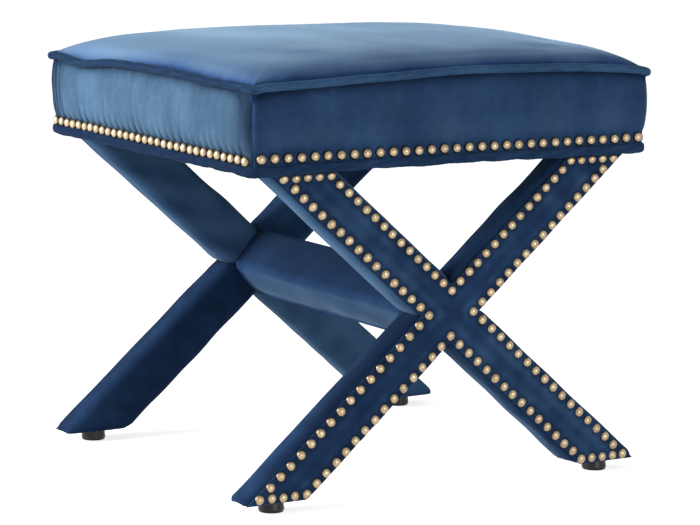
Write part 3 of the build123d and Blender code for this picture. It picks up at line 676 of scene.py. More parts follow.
def ring_piece(name, section, shift, material, replaced, left_shade, flap=None):
    """A closed ring round the seat: section gives (out, up) offsets, shift moves each station out and up.

    A flap, given by its inset and height, is the ring's cloth turned in under the seat's rails.
    """
    points, normals, run, period = perimeter()
    out, up = shift(points, run, period)
    offsets = section(run, period)
    rows = np.zeros((len(points), offsets.shape[1], 3))
    reach = offsets[..., 0] + out[:, None]
    rows[..., :2] = points[:, None, :] + normals[:, None, :] * reach[..., None]
    rows[..., 2] = offsets[..., 1] + up[:, None]
    faces = grid_faces(rows.shape[0], rows.shape[1], wrap_rows=True, wrap_cols=True)
    # Painted shade: the ring is darker where it faces left, with random marks in the nap
    facing = np.clip(-normals[:, 0], 0, 1)[:, None]
    marks = ripples(run[:, None] + 0 * reach, 9 * offsets[..., 1], seed=19, length=28)
    nap_and_painted_light = 1 - left_shade * facing + 0.1 * marks
    verts = rows.reshape(-1, 3)
    if flap:
        inset, height = flap
        inner = np.clip(points, (inset - HALF_X, inset - HALF_Y), (HALF_X - inset, HALF_Y - inset))
        corners = ((points, FLAP_THICK), (inner, FLAP_THICK), (inner, 0.0), (points, 0.0))
        loops = [np.column_stack([plan, np.full(len(plan), height + level)]) for plan, level in corners]
        turned_in = np.stack(loops, 1)
        faces += grid_faces(len(points), len(corners), wrap_rows=True, wrap_cols=True, first=len(verts))
        verts = np.vstack([verts, turned_in.reshape(-1, 3)])
    return make_piece(name, verts, faces, material, replaced, nap_and_painted_light=np.clip(nap_and_painted_light, 0.15, 1.1))


def welt_bow(side, share):
    """How far a side's top edge stands above its corners; share runs from -1 to 1 along the side."""
    share = np.clip(share, -1, 1)
    bows = [height * bump(share - middle, width) for height, middle, width in WELT_BOWS[side]]
    return sum(bows) * (1 - share ** 10)


def welt_bows(x, y, half_x, half_y):
    """The bow of the nearest side at plan points."""
    near_end = half_x - np.abs(x) < half_y - np.abs(y)
    along_x, along_y = x / half_x, y / half_y
    front_rear = np.where(y < 0, welt_bow("front", along_x), welt_bow("rear", -along_x))
    left_right = np.where(x < 0, welt_bow("left", -along_y), welt_bow("right", along_y))
    return np.where(near_end, left_right, front_rear)


def corner_distance(points):
    """Distance in plan from the nearest corner of the seat."""
    return np.hypot(np.abs(points[:, 0]) - HALF_X, np.abs(points[:, 1]) - HALF_Y)


def make_top_welt(material):
    """The welt sewn round the seat's top: a round cord in velvet that bows up along each side."""
    def section(run, period):
        turn = np.linspace(0, 2 * np.pi, 16, endpoint=False)
        size = TOP_WELT_RADIUS + 0.14 * waves(run, seed=3, lengths=(47, 29), period=period)
        return size[:, None, None] * np.stack([np.cos(turn), np.sin(turn)], 1)[None]

    def shift(points, run, period):
        corner = corner_distance(points)
        out = 0.5 * waves(run, seed=5, lengths=(170, 90), period=period) + 4.6 * bump(corner, 8)
        up = TOP_WELT_Z + 0.7 * waves(run, seed=6, lengths=(260, 140), period=period)
        up += welt_bows(points[:, 0], points[:, 1], HALF_X, HALF_Y) - 1.5 * bump(corner, 9)
        return out, up

    return ring_piece("velvet_top_welt", section, shift, material, ["top_welt", "top_welt_cord"],
                      left_shade=0.8)


def make_bottom_lip(material):
    """The soft lip of velvet under the seat's nails, with the cloth turned in under the rails."""
    def section(run, period):
        turn = np.linspace(0, 2 * np.pi, 18, endpoint=False)
        c, s = np.cos(turn), np.sin(turn)
        out = LIP_HALF_DEPTH * np.sign(c) * np.abs(c) ** 0.8
        up = LIP_HALF_HEIGHT * np.sign(s) * np.abs(s) ** 0.65
        size = 1 + 0.05 * waves(run, seed=13, lengths=(37, 23, 9), period=period)
        return size[:, None, None] * np.stack([out, up], 1)[None]

    def shift(points, run, period):
        corner = corner_distance(points)
        out = -0.6 + 0.4 * waves(run, seed=15, lengths=(90, 51, 24), period=period) - 1.2 * bump(corner, 12)
        front_left = np.hypot(points[:, 0] + HALF_X, points[:, 1] + HALF_Y)
        up = LIP_Z + 0.7 * waves(run, seed=16, lengths=(160, 85, 45), period=period)
        up -= 2.2 * bump(front_left, 26)
        up += 1.0 * bump(points[:, 0] + 20, 150) * (points[:, 1] < 5 - HALF_Y)
        return out, up

    return ring_piece("velvet_bottom_lip", section, shift, material, ["bottom_welt", "bottom_welt_cord"],
                      left_shade=0.8, flap=(FLAP_INSET, SEAT_UNDERSIDE - FLAP_DROP))


def nail_pulls(a, z, row_z, half_length, pull, rng):
    """How a side's nails pull its velvet: depth of the folds, painted shade in the creases with painted
    light beside them, and rings round the nails, which dimple the velvet and carry painted shade.
    """
    over = np.clip(z - row_z, 0, None)
    folds = np.zeros_like(a)
    creases = np.zeros_like(a)
    rings = np.zeros_like(a)
    last_nail = half_length - SIDE_NAIL_INSET
    for nail in np.linspace(-last_nail, last_nail, SIDE_NAILS):
        lean = -0.55 * pull + rng.uniform(-0.12, 0.12)
        reach = rng.uniform(5, 11)
        depth = rng.uniform(1.3, 2.4)
        line = a - nail + 4.5 - lean * over * fade(over, 30)
        fading = fade(np.clip(over - 5, 0, None), reach)
        crease = bump(line, 3.1 + 0.03 * over) * fading * (over > 0) * pull
        beside = bump(line - 5, 3) * fade(over, reach) * (over > 3) * pull
        ring = bump(np.hypot(a - nail, z - row_z), 6.8)
        folds -= depth * crease
        # The creases carry painted shade, made lighter beside each crease
        creases += depth * (crease - 0.55 * beside)
        folds -= 2.4 * ring
        rings = np.maximum(rings, ring)
    return folds, creases, rings


def make_boxing(side, material, wrinkle):
    """One side's velvet band over its wadding, between two corner seams, pulled in at its nails."""
    turn, half_length, half_out, pull, lift = SIDES[side]
    points, normals, along = side_stations(half_length, half_out, step=1.5, corner_points=10)
    seed = 100 + turn
    row_z = NAIL_ROW_Z + lift
    heights = np.concatenate([np.linspace(BOXING_BOTTOM, NAIL_BAND_TOP, NAIL_BAND_ROWS),
                              np.linspace(PLAIN_BAND_BOTTOM, BOXING_TOP, PLAIN_BAND_ROWS)])
    a, z = np.meshgrid(along, heights, indexing="ij")
    edge = along[-1] - np.abs(a)
    over = np.clip(z - row_z, 0, None)
    under = np.clip(row_z - z, 0, None)
    below_welt = BOXING_TOP - z
    swell_bottom = row_z + SWELL_ABOVE_NAILS
    share = ramp(z - swell_bottom, SWELL_TOP - swell_bottom)
    swell = SIDE_SWELL * np.sin(np.pi * share ** 0.9) - 0.4 * share
    rng = np.random.default_rng(seed)
    folds, creases, rings = nail_pulls(a, z, row_z, half_length, pull, rng)
    folds *= fade(under, 12)
    pull_lines = waves(a + 0.12 * over, seed=seed + 1, lengths=(7.3, 5.1, 11.7, 17.0))
    streaks = 0.09 * pull * pull_lines * fade(under, 3)
    corner_folds = waves(a, seed=seed + 2, lengths=(6.5, 9.0)) * fade(edge, 16) * ramp(over, 20)
    first_gather, last_gather = CORNER_GATHERS[side]
    corner_folds *= np.where(a < 0, first_gather, last_gather)
    for inset, deep in GATHERS.get(side, ()):
        groove = a + along[-1] - inset + 0.10 * over
        corner_folds -= deep * bump(groove, 2.2) * ramp(over, 10)
    under_welt = -0.5 * waves(a, seed=seed + 3, lengths=(19, 31, 47)) * fade(below_welt, 9)
    broad = 0.7 * ripples(a, z, seed=seed + 4, length=120) * ramp(over, 25)
    seam = 0.9 * bump(edge, 12) * ramp(over, 12) - 1.0 * bump(edge, 1.8)
    tuck = -2.4 * fade(below_welt, 3.5)
    out = swell + wrinkle * (folds + streaks + corner_folds + under_welt) + broad + seam + tuck
    outer = np.zeros((*a.shape, 3))
    outer[..., :2] = points[:, None, :] + normals[:, None, :] * out[..., None]
    bow = welt_bow(side, along / along[-1])
    outer[..., 2] = z + bow[:, None] * ramp(z - swell_bottom, BOXING_TOP - swell_bottom)
    inner = np.zeros((len(along), 2, 3))
    for i, level in enumerate((BOXING_TOP, BOXING_BOTTOM)):
        inner[:, i, :2] = points - normals * BOXING_BACK
        inner[:, i, 2] = level + bow * (i == 0)
    rows = turned(np.concatenate([outer, inner], axis=1), turn)
    replaced = [f"boxing_{side}"] + (["seat_side_wadding"] if side == "front" else [])
    verts, faces = tube(rows)
    # Painted shade under the welt, below the nails, at the corners, round the nails and in the folds and
    # creases
    shade_under_welt = 0.95 * np.exp(-(below_welt / 7) ** 1.5)
    shade_below_nails = 0.62 * ramp(under - 1, 5)
    # Painted shade towards the corners, stronger higher up the side
    first_shade, last_shade = CORNER_SHADES[side]
    corner = np.where(a > 0, last_shade, first_shade) * np.exp(-(edge / 30) ** 2.5)
    corner *= 0.3 + 0.85 * share
    # Painted light: a paler band above the nails on the less pulled sides
    lit = 0.22 * (1 - pull) * bump(over - 18, 13)
    groove_shade = 0.36 * np.clip(-corner_folds, 0, 2) + 0.58 * creases + 0.15 * fade(over, 6)
    dark = shade_under_welt + corner + 0.6 * rings + pull * (shade_below_nails + groove_shade)
    nap_and_painted_light = np.ones(rows.shape[:2])
    patches = 0.08 * ripples(a, z, seed=seed + 5, length=70)
    nap_and_painted_light[:, :len(heights)] = np.clip(1 - dark + lit + patches, 0.12, 1.3)
    piece = make_piece(f"velvet_boxing_{side}", verts, faces, material, replaced, nap_and_painted_light=nap_and_painted_light)
    return piece


def spread(count, power):
    """Shares from -1 to 1, closer together near both ends."""
    t = np.linspace(-1, 1, count)
    return np.sign(t) * (1 - (1 - np.abs(t)) ** power)


def smooth_weights(count, coarse):
    """Weights that carry values at some of a line's points smoothly to all its points."""
    places = np.interp(np.arange(count), coarse, np.arange(len(coarse)))
    first = np.clip(np.floor(places).astype(int), 0, len(coarse) - 2)
    t = places - first
    parts = (
        -t + 2 * t ** 2 - t ** 3,
        2 - 5 * t ** 2 + 3 * t ** 3,
        t + 4 * t ** 2 - 3 * t ** 3,
        t ** 3 - t ** 2,
    )
    weights = np.zeros((count, len(coarse)))
    for step, part in enumerate(parts):
        column = np.clip(first + step - 1, 0, len(coarse) - 1)
        np.add.at(weights, (np.arange(count), column), part / 2)
    return weights


def filled_cloth(grid):
    """How far a cloth of the grid's shape, held along its edge, lifts as it fills.

    The lift is simulated, then smoothed and kept under its cap.
    """
    rows, cols = grid.shape[:2]
    mesh = bpy.data.meshes.new("cushion_cloth")
    faces = [face[::-1] for face in grid_faces(rows, cols)]
    mesh.from_pydata((grid.reshape(-1, 3) * MM).tolist(), [], faces)
    cloth = bpy.data.objects.new("cushion_cloth", mesh)
    scene = bpy.context.scene
    scene.collection.objects.link(cloth)
    ids = np.arange(rows * cols).reshape(rows, cols)
    rim = np.concatenate([ids[0], ids[-1], ids[1:-1, 0], ids[1:-1, -1]])
    cloth.vertex_groups.new(name="held").add(rim.tolist(), 1.0, "REPLACE")
    settings = cloth.modifiers.new("Cloth", "CLOTH").settings
    settings.quality = 6
    settings.vertex_group_mass = "held"
    settings.use_pressure = True
    settings.uniform_pressure_force = CLOTH_PRESSURE
    settings.tension_stiffness = CLOTH_TENSION
    settings.compression_stiffness = CLOTH_TENSION
    settings.shear_stiffness = CLOTH_TENSION / 4
    settings.effector_weights.gravity = 0
    for step in range(1, CLOTH_FRAMES + 1):
        scene.frame_set(step)
    settled = cloth.evaluated_get(bpy.context.evaluated_depsgraph_get()).data
    points = np.empty(rows * cols * 3, dtype=np.float32)
    settled.vertices.foreach_get("co", points)
    bpy.data.objects.remove(cloth)
    bpy.data.meshes.remove(mesh)
    scene.frame_set(1)
    lift = np.clip(points.reshape(rows, cols, 3)[..., 2] / MM - grid[..., 2], 0, None)
    for _ in range(CLOTH_SMOOTHING):
        wide = np.pad(lift, 1, mode="edge")
        beside = wide[:-2, 1:-1] + wide[2:, 1:-1] + wide[1:-1, :-2] + wide[1:-1, 2:]
        lift = (beside + 4 * lift) / 8
    return CLOTH_CAP * np.tanh(lift / CLOTH_CAP)


def cushion_plan(u, v, half_x, half_y):
    """The cushion's plan: a grid with rounded, pulled-out corners, and each point's share of the pull."""
    x, y = u * half_x, v * half_y
    corner = CUSHION_CORNER
    over_x = ramp(np.abs(x) - (half_x - corner), corner)
    over_y = ramp(np.abs(y) - (half_y - corner), corner)
    length = np.maximum(np.hypot(over_x, over_y), 1e-9)
    keep = np.maximum(over_x, over_y) / length
    inside = (over_x > 0) & (over_y > 0)
    x = np.where(inside, np.sign(x) * (half_x - corner + corner * over_x * keep), x)
    y = np.where(inside, np.sign(y) * (half_y - corner + corner * over_y * keep), y)
    tip = bump(np.hypot(np.abs(x) - half_x, np.abs(y) - half_y), TIP_REACH)
    x += TIP_PULL * np.sign(x) * tip
    y += TIP_PULL * np.sign(y) * tip
    return x, y, tip


def cushion_nap_and_painted_light(u, v, x, y, edge):
    """Painted light and shade on the top: pale at its left and far side and on its front slope, painted
    shade beside the welt, with random marks in the nap.
    """
    left_slope = ramp(-0.1 - u, 0.72) * (0.55 + 0.45 * ramp(edge, 32))
    front_slope = ramp(-v - 0.72, 0.22)
    far_left = ramp(0.3 - u, 0.6) * ramp(v + 0.3, 0.6)
    nap_and_painted_light = 1 + 0.74 * left_slope * (1 - 0.85 * front_slope) - 0.9 * fade(edge, 2.6)
    nap_and_painted_light += 0.36 * front_slope * (0.45 + 0.55 * np.clip(1.15 + u, 0, 1))
    nap_and_painted_light += 0.3 * far_left
    nap_and_painted_light += 0.06 * ripples(x, y, seed=35, length=90)
    return np.clip(nap_and_painted_light, 0.15, 1.8)


def make_cushion(material, rise):
    """The crowned seat cushion: its top rolls in under the welt and its flat underside lies on the deck."""
    rows, cols = CUSHION_GRID
    u, v = np.meshgrid(spread(rows, 1.5), spread(cols, 1.5), indexing="ij")
    half_x, half_y = HALF_X - CUSHION_INSET, HALF_Y - CUSHION_INSET
    x, y, tip = cushion_plan(u, v, half_x, half_y)
    sideways = np.where(u > 0, CROWN_RIGHT, CROWN_LEFT)
    swell = ((1 - np.abs(u) ** sideways) * (1 - np.abs(v) ** CROWN_DEPTH)) ** CROWN_FLATNESS
    edge = np.minimum(half_x - np.abs(x), half_y - np.abs(y))
    around = np.arctan2(y, x)
    pucker = waves(around, seed=31, lengths=(0.11, 0.07, 0.045), period=2 * np.pi)
    pucker *= fade(edge, 9) * ramp(edge, 3)
    diagonal = np.hypot(np.abs(x) - half_x, np.abs(y) - half_y)
    ray = np.arctan2(half_y - np.abs(y), half_x - np.abs(x))
    corner_fold = np.cos(14 * ray + x * 0.02) * fade(diagonal, 34) * ramp(diagonal, 14)
    held_to, free_from = CLOTH_CORNER
    free = ramp(diagonal - held_to, free_from - held_to)
    free = free * free * (3 - 2 * free)
    start_rise = rise - CLOTH_ROOM * free
    groove = GROOVE_DEPTH * fade(edge, GROOVE_WIDTH) * (1 - 0.85 * tip)
    z = TOP_WELT_Z + 1.0 + start_rise * swell + 0.5 * pucker + 0.25 * corner_fold - groove
    z += welt_bows(x, y, half_x, half_y) * fade(edge, 26)
    z += 0.4 * ripples(x, y, seed=33, length=150) * ramp(edge, 40)
    top = np.stack([x, y, z], -1)
    some_rows = np.unique(np.linspace(0, rows - 1, CLOTH_GRID[0]).round().astype(int))
    some_cols = np.unique(np.linspace(0, cols - 1, CLOTH_GRID[1]).round().astype(int))
    lift = filled_cloth(top[np.ix_(some_rows, some_cols)])
    by_row = smooth_weights(rows, some_rows)
    by_col = smooth_weights(cols, some_cols)
    top[..., 2] += free * (by_row @ lift @ by_col.T)
    base = top * (0.985, 0.985, 0)
    base[..., 2] = DECK_TOP
    count = rows * cols
    faces = grid_faces(rows, cols) + grid_faces(rows, cols, first=count)
    ids = np.arange(count).reshape(rows, cols)
    rim = np.concatenate([ids[0], ids[1:, -1], ids[-1, -2::-1], ids[-2:0:-1, 0]]).tolist()
    faces += [[p, q, q + count, p + count] for p, q in zip(rim, rim[1:] + rim[:1])]
    verts = np.vstack([top.reshape(-1, 3), base.reshape(-1, 3)])
    nap_and_painted_light = cushion_nap_and_painted_light(u, v, x, y, edge)
    piece = make_piece("velvet_seat_cushion", verts, faces, material,
                       ["seat_top_panel", "seat_batting", "seat_foam"], nap_and_painted_light=nap_and_painted_light)
    return piece


# Leg frames
def arm_points(q, y, share, climb, lift):
    """Points of an arm that rises to +X: q is the offset across it, share the way from mitre to end."""
    p = q / math.cos(ARM_ANGLE)
    start_x = np.where(p >= 0, 0, -p / SLOPE)
    start_z = np.where(p >= 0, p, 0)
    reach = climb - lift(q)
    end_x = (reach - p) / SLOPE
    x = start_x + (end_x - start_x) * share
    z = start_z + (reach - start_z) * share
    return np.stack([x, y, z], -1)


def placed(points, side, up, face):
    """An arm's points mirrored to its place: side -1 is left, up -1 is below and face -1 is the front."""
    return points * (side, face, up) + (0, 0, CROSSING_Z)


def wrap_section():
    """The wrap's section: offsets across (q) and in depth (y), with outward normals."""
    half_q, half_y = ARM_HALF_WIDTH, (WRAP_OUT - ARM_IN) / 2
    straight_q, straight_y = half_q - ARM_EDGE_RADIUS, half_y - ARM_EDGE_RADIUS
    points, normals = [], []
    corners = ((1, 1, 0), (-1, 1, 90), (-1, -1, 180), (1, -1, 270))
    runs = ((-1, 0, 16, straight_q), (0, -1, 8, straight_y), (1, 0, 16, straight_q), (0, 1, 8, straight_y))
    for (cq, cy, start), (dq, dy, count, half) in zip(corners, runs):
        for turn in np.radians(start + np.linspace(0, 90, 6)):
            normal = np.array((np.cos(turn), np.sin(turn)))
            points.append(np.array((cq * straight_q, cy * straight_y)) + ARM_EDGE_RADIUS * normal)
            normals.append(normal)
        last = points[-1]
        for step in range(1, count):
            points.append(last + np.array((dq, dy)) * 2 * half * step / count)
            normals.append(normals[-1])
    points, normals = np.array(points), np.array(normals)
    points[:, 1] += (WRAP_OUT + ARM_IN) / 2
    return points, normals


def foot_lift(q):
    """How far an arm's lower end rises at its blunt outer tip and its rounded inner corner."""
    share = q / ARM_HALF_WIDTH
    tip = ramp(-share - 0.85, 0.15)
    inner = ramp(share - 0.85, 0.15)
    return FOOT_TIP_RISE * tip + FOOT_INNER_RISE * inner - FOOT_REACH


def no_lift(q):
    """An arm's upper end is level where it meets the seat."""
    return np.zeros_like(q)


def arm_climb(up):
    """Height of an upper (1) or lower (-1) arm from the crossing to its end."""
    return LEG_TOP - CROSSING_Z if up > 0 else CROSSING_Z - LEG_BOTTOM


def make_wrap(name, face, side, up, material, puff, replaced):
    """One arm's velvet over its wadding, from the mitre seams to the seat or the foot."""
    section, normals = wrap_section()
    seed = 300 + 40 * (face < 0) + 20 * (side > 0) + 10 * (up > 0)
    climb = arm_climb(up)
    length = climb / math.sin(ARM_ANGLE)
    share = (spread(WRAP_ROWS, 1.35) + 1) / 2
    t, q = np.meshgrid(share, section[:, 0], indexing="ij")
    y = np.broadcast_to(section[:, 1], t.shape)
    nq = np.broadcast_to(normals[:, 0], t.shape)
    ny = np.broadcast_to(normals[:, 1], t.shape)
    from_seam = t * length
    from_end = (1 - t) * length
    depth = (y - (WRAP_OUT + ARM_IN) / 2) / ((WRAP_OUT - ARM_IN) / 2)
    across = q / ARM_HALF_WIDTH
    swell = np.abs(nq) * (1 - depth ** 2) + np.clip(-ny, 0, 1) * (1 - across ** 2)
    around = np.linspace(0, 1, len(section), endpoint=False)[None, :] * np.ones_like(t)
    tucks = waves(around, seed=seed, lengths=(0.045, 0.03, 0.07), period=1.0)
    move = puff * swell * ramp(from_seam, 12)
    move += 0.5 * ripples(from_seam, around * WRAP_GIRTH, seed=seed + 1, length=85) * ramp(from_seam, 20)
    move -= SEAM_DEPTH * bump(from_seam, SEAM_WIDTH)
    move += 0.5 * tucks * bump(from_seam, 14) * ramp(from_seam, 3)
    if up < 0:
        move -= HEM_TUCK * (1 - rounded(1 - from_end / HEM_HEIGHT))
        move += 1.0 * tucks * fade(from_end, 7) * ramp(from_end, 2)
    rows = arm_points(q + nq * move, y + ny * move, t, climb, foot_lift if up < 0 else no_lift)
    verts, faces = tube(placed(rows, side, up, face))
    arm_painted_light, panel_shade = ARM_PAINTED_LIGHT.get(name, PLAIN_ARM)
    # Painted shade at the crossing seam, at the arm's end and on the sides next to the panel, painted light
    # or shade over the whole arm, and random marks in the nap
    outer_edge = ramp(depth + 0.2, 1.2) * np.abs(nq)
    nap_and_painted_light = 1 - 0.45 * bump(from_seam, 5) - 0.3 * fade(from_end, 6) - panel_shade * outer_edge
    nap_and_painted_light += 0.12 * ripples(from_seam, around * WRAP_GIRTH, seed=seed + 3, length=45)
    nap_and_painted_light += arm_painted_light - 1
    # Painted shade near the crossing on the lower left arms
    if up < 0 and side < 0:
        nap_and_painted_light -= 0.3 * (1 - t) + 0.8 * bump(t, 0.5) if face < 0 else 0.15 * (1 - t)
    # Painted shade: the outer face, mostly under the panel, is held at half
    nap_and_painted_light += (0.5 - nap_and_painted_light) * ramp(ny - 0.55, 0.35)
    piece = make_piece(name, verts, faces, material, replaced, sharp=60,
                       nap_and_painted_light=np.clip(nap_and_painted_light, 0.1, 2.0))
    return piece


def nail_places(node, outward):
    """Middles of the nail heads of a CAD node, in millimetres, from the tips of their domes."""
    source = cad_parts[node]
    points = np.array([source.matrix_world @ vertex.co for vertex in source.data.vertices]) / MM
    height = points @ np.array(outward, dtype=float)
    dome_top = 0.6
    tips = points[height > height.max() - dome_top]
    middles = []
    while len(tips):
        near = np.linalg.norm(tips - tips[0], axis=1) < NAIL_RADIUS
        group = tips[near]
        middles.append((group.min(axis=0) + group.max(axis=0)) / 2)
        tips = tips[~near]
    return np.array(middles) - np.array(outward, dtype=float) * NAIL_RISE


def make_face_panel(face_name, material, puff):
    """The cross-shaped velvet panel of one leg frame: folded edges, pulled in at every nail."""
    face = -1 if face_name == "front" else 1
    nails = nail_places(f"{face_name}_leg_nails", (0, face, 0))
    half_points = np.concatenate([np.linspace(0, PANEL_FLAT, 11), PANEL_EDGE_POINTS])
    front_q = np.concatenate([-half_points[:0:-1], half_points])
    back_q = np.array([PANEL_BACK, 12.0, 0.0, -12.0, -PANEL_BACK])
    q_line = np.concatenate([front_q, back_q])
    is_front = np.arange(len(q_line)) < len(front_q)
    verts, faces, panel_nap_and_painted_light = [], [], []
    for side in (-1, 1):
        for up in (-1, 1):
            climb = arm_climb(up)
            share = np.linspace(0, 1, PANEL_ROWS)
            t, q = np.meshgrid(share, q_line, indexing="ij")
            length = climb / math.sin(ARM_ANGLE)
            seed = 500 + side + 2 * up + 7 * face
            wobble = 0.35 * waves(t * length, seed=seed, lengths=(61, 34, 19)) * np.clip(t * 8, 0, 1)
            folded = np.sign(q) * ramp(np.abs(q) - PANEL_FLAT, PANEL_FOLD_WIDTH)
            lift = foot_lift if up < 0 else no_lift
            flat = arm_points(q + wobble * folded, np.zeros_like(q), t, climb, lift)
            flat = placed(flat, side, up, 1)
            gap = np.hypot(flat[..., 0, None] - nails[:, 0], flat[..., 2, None] - nails[:, 2])
            nearest = gap.min(axis=-1)
            dimple = bump(nearest, DIMPLE_REACH)
            between = np.clip(1 - (q / NAIL_OFFSET) ** 2, 0, 1)
            rough = 0.25 * ripples(flat[..., 0], flat[..., 2], seed=520 + face, length=55)
            fold = 0.7 * bump(np.abs(q) - PANEL_RIDGE, 1.7) * (1 - dimple)
            out = 0.9 + puff * between ** 0.8 - DIMPLE_DEPTH * dimple + fold + rough
            roll = rounded((np.abs(q) - PANEL_ROLL) / PANEL_ROLL_WIDTH)
            ending = rounded(1 - (1 - t) * length / 3.0)
            out = -PANEL_TUCK + (out + PANEL_TUCK) * roll * np.clip(ending, 0.15, 1)
            flat[..., 1] = face * (ARM_OUT + np.where(is_front[None, :], out, -PANEL_SUNK))
            # Painted light and shade: paler arms, a paler band inside the nails, darker middles, painted
            # shade round each nail, and random patches in the nap
            arm_painted_light = 0.95 + PANEL_PAINTED_LIGHT.get((side, up), 0.0) * np.clip(t * 6, 0, 1)
            arm_painted_light = arm_painted_light + 0.18 * bump(np.abs(q) - 9, 5) - 0.08 * bump(q, 6)
            patches = 0.14 * ripples(flat[..., 0], flat[..., 2], seed=530 + face, length=38)
            patches += 0.05 * ripples(flat[..., 0], flat[..., 2], seed=532 + face, length=15)
            panel_nap_and_painted_light += np.clip(arm_painted_light - 0.7 * bump(nearest, 7.2) + patches, 0.15, 1.4).ravel().tolist()
            first = len(verts)
            rows, cols = t.shape
            verts += flat.reshape(-1, 3).tolist()
            faces += grid_faces(rows, cols, wrap_cols=True, first=first)
            last = first + (rows - 1) * cols
            faces.append(list(range(last, last + cols)))
    piece = make_piece(f"velvet_{face_name}_panel", verts, faces, material,
                       [f"{face_name}_face_panel"], merge=0.02, nap_and_painted_light=panel_nap_and_painted_light)
    return piece


# Stretcher
def make_stretcher_half(side, material):
    """Half of the stretcher's velvet: two padded faces and a soft ridge between two crisp seams."""
    reach = STRETCHER_SIDE / math.sqrt(2)
    tangent = STRETCHER_RIDGE_RADIUS
    straight = STRETCHER_SIDE - tangent
    down = np.array((math.sqrt(0.5), -math.sqrt(0.5)))
    out_up = np.array((math.sqrt(0.5), math.sqrt(0.5)))
    runs = np.concatenate([np.linspace(0, 6, 7), np.linspace(8, straight, 15)])
    upper = np.array((0, reach)) + runs[:, None] * down
    centre = upper[-1] - STRETCHER_RIDGE_RADIUS * out_up
    arc = np.radians(np.linspace(45, -45, 12))[1:-1]
    ridge_normal = np.stack([np.cos(arc), np.sin(arc)], 1)
    points = np.vstack([upper, centre + STRETCHER_RIDGE_RADIUS * ridge_normal, upper[::-1] * (1, -1)])
    upper_normal = np.tile(out_up, (len(runs), 1))
    normals = np.vstack([upper_normal, ridge_normal, upper_normal[::-1] * (1, -1)])
    gaps = np.hypot(*np.diff(points, axis=0).T)
    run = np.concatenate([[0], np.cumsum(gaps)])
    from_seam = np.minimum(run, run[-1] - run)
    ys = STRETCHER_END * spread(STRETCHER_ROWS, 1.3)
    y, seam = np.meshgrid(ys, from_seam, indexing="ij")
    around = np.broadcast_to(run, y.shape)
    from_end = STRETCHER_END - np.abs(y)
    move = STRETCHER_PUFF * np.sin(np.pi * ramp(seam, straight)) ** 1.2
    move += 0.9 * bump(seam, 1.3) - 0.7 * bump(seam - 3.4, 1.8)
    move += 0.7 * ripples(y, around, seed=610 + side, length=62) * ramp(seam, 8)
    move -= 1.1 * bump(from_end - 5, 1.3) + 0.9 * bump(from_end - 12, 1.4)
    move += 0.35 * waves(around, seed=620 + side, lengths=(13, 8.5)) * fade(from_end, 16)
    rows = np.zeros((*y.shape, 3))
    rows[..., 0] = side * np.maximum(points[:, 0] + normals[:, 0] * move, 0.1)
    rows[..., 1] = y
    rows[..., 2] = CROSSING_Z + points[:, 1] + normals[:, 1] * move
    upward = np.broadcast_to(normals[:, 1], y.shape)
    # Painted light and shade: upper faces darker and lower faces lighter, darker at the seams and near the
    # ends, with random marks in the nap
    nap_and_painted_light = 0.88 - 0.55 * upward - 0.3 * bump(seam, 2.5) - 0.35 * bump(from_end - 8, 7)
    nap_and_painted_light += 0.06 * ripples(y, around, seed=630 + side, length=60)
    name = "left" if side < 0 else "right"
    replaced = [f"stretcher_cover_{name}"] + (["stretcher_wadding"] if side < 0 else [])
    verts, faces = tube(rows)
    piece = make_piece(f"velvet_stretcher_{name}", verts, faces, material, replaced,
                       nap_and_painted_light=np.clip(nap_and_painted_light, 0.2, 1.3))
    return piece


# Nails
def nail_head():
    """One nail head that stands out along -Y, as points and faces: a dome with its rim turned in."""
    sphere = (NAIL_RADIUS ** 2 + NAIL_RISE ** 2) / (2 * NAIL_RISE)
    limit = math.asin(NAIL_RADIUS / sphere)
    turn = np.linspace(0, 2 * np.pi, NAIL_SIDES, endpoint=False)
    profile = [(sphere * math.sin(a), sphere * math.cos(a) - (sphere - NAIL_RISE))
               for a in np.linspace(0, limit, NAIL_RINGS)[1:]]
    profile += [(NAIL_RADIUS - 0.15, -0.7), (NAIL_RADIUS - 1.5, -0.9)]
    rings = np.array([[(r * np.cos(t), -out, r * np.sin(t)) for t in turn] for r, out in profile])
    return tube(rings)


def make_nails(node, outward, material, sizes, seed):
    """All nails of one CAD node, each with a slight seeded lean and shift."""
    rng = np.random.default_rng(seed)
    head, head_faces = nail_head()
    side_way = np.cross(outward, (0, 0, 1))
    turn = np.stack([-side_way, -np.array(outward, dtype=float), (0.0, 0.0, 1.0)], 1)
    verts, faces = [], []
    for place in nail_places(node, outward):
        lean, spin = rng.uniform(0, sizes.nail_tilt), rng.uniform(0, 2 * np.pi)
        tilt = Matrix.Rotation(lean, 3, (math.cos(spin), 0, math.sin(spin)))
        slip = rng.uniform(-1, 1, 2) * sizes.nail_shift / MM
        scale = rng.uniform(1.0, 1.05)
        local = (head * scale) @ np.array(tilt).T + (slip[0], 0, slip[1])
        faces += [[i + len(verts) for i in face] for face in head_faces]
        verts += (local @ turn.T + place).tolist()
    piece = make_piece(f"brass_{node}", verts, faces, material, [node], sharp=80)
    # Painted shade: each head's rim is mixed towards the worn colour
    from_middle = np.hypot(head[:, 0], head[:, 2]) / NAIL_RADIUS
    rim = ramp(from_middle - 0.74, 0.26).astype(np.float32)
    attribute = piece.data.attributes.new("rim", "FLOAT", "POINT")
    attribute.data.foreach_set("value", np.tile(rim, len(verts) // len(head)))
    return piece


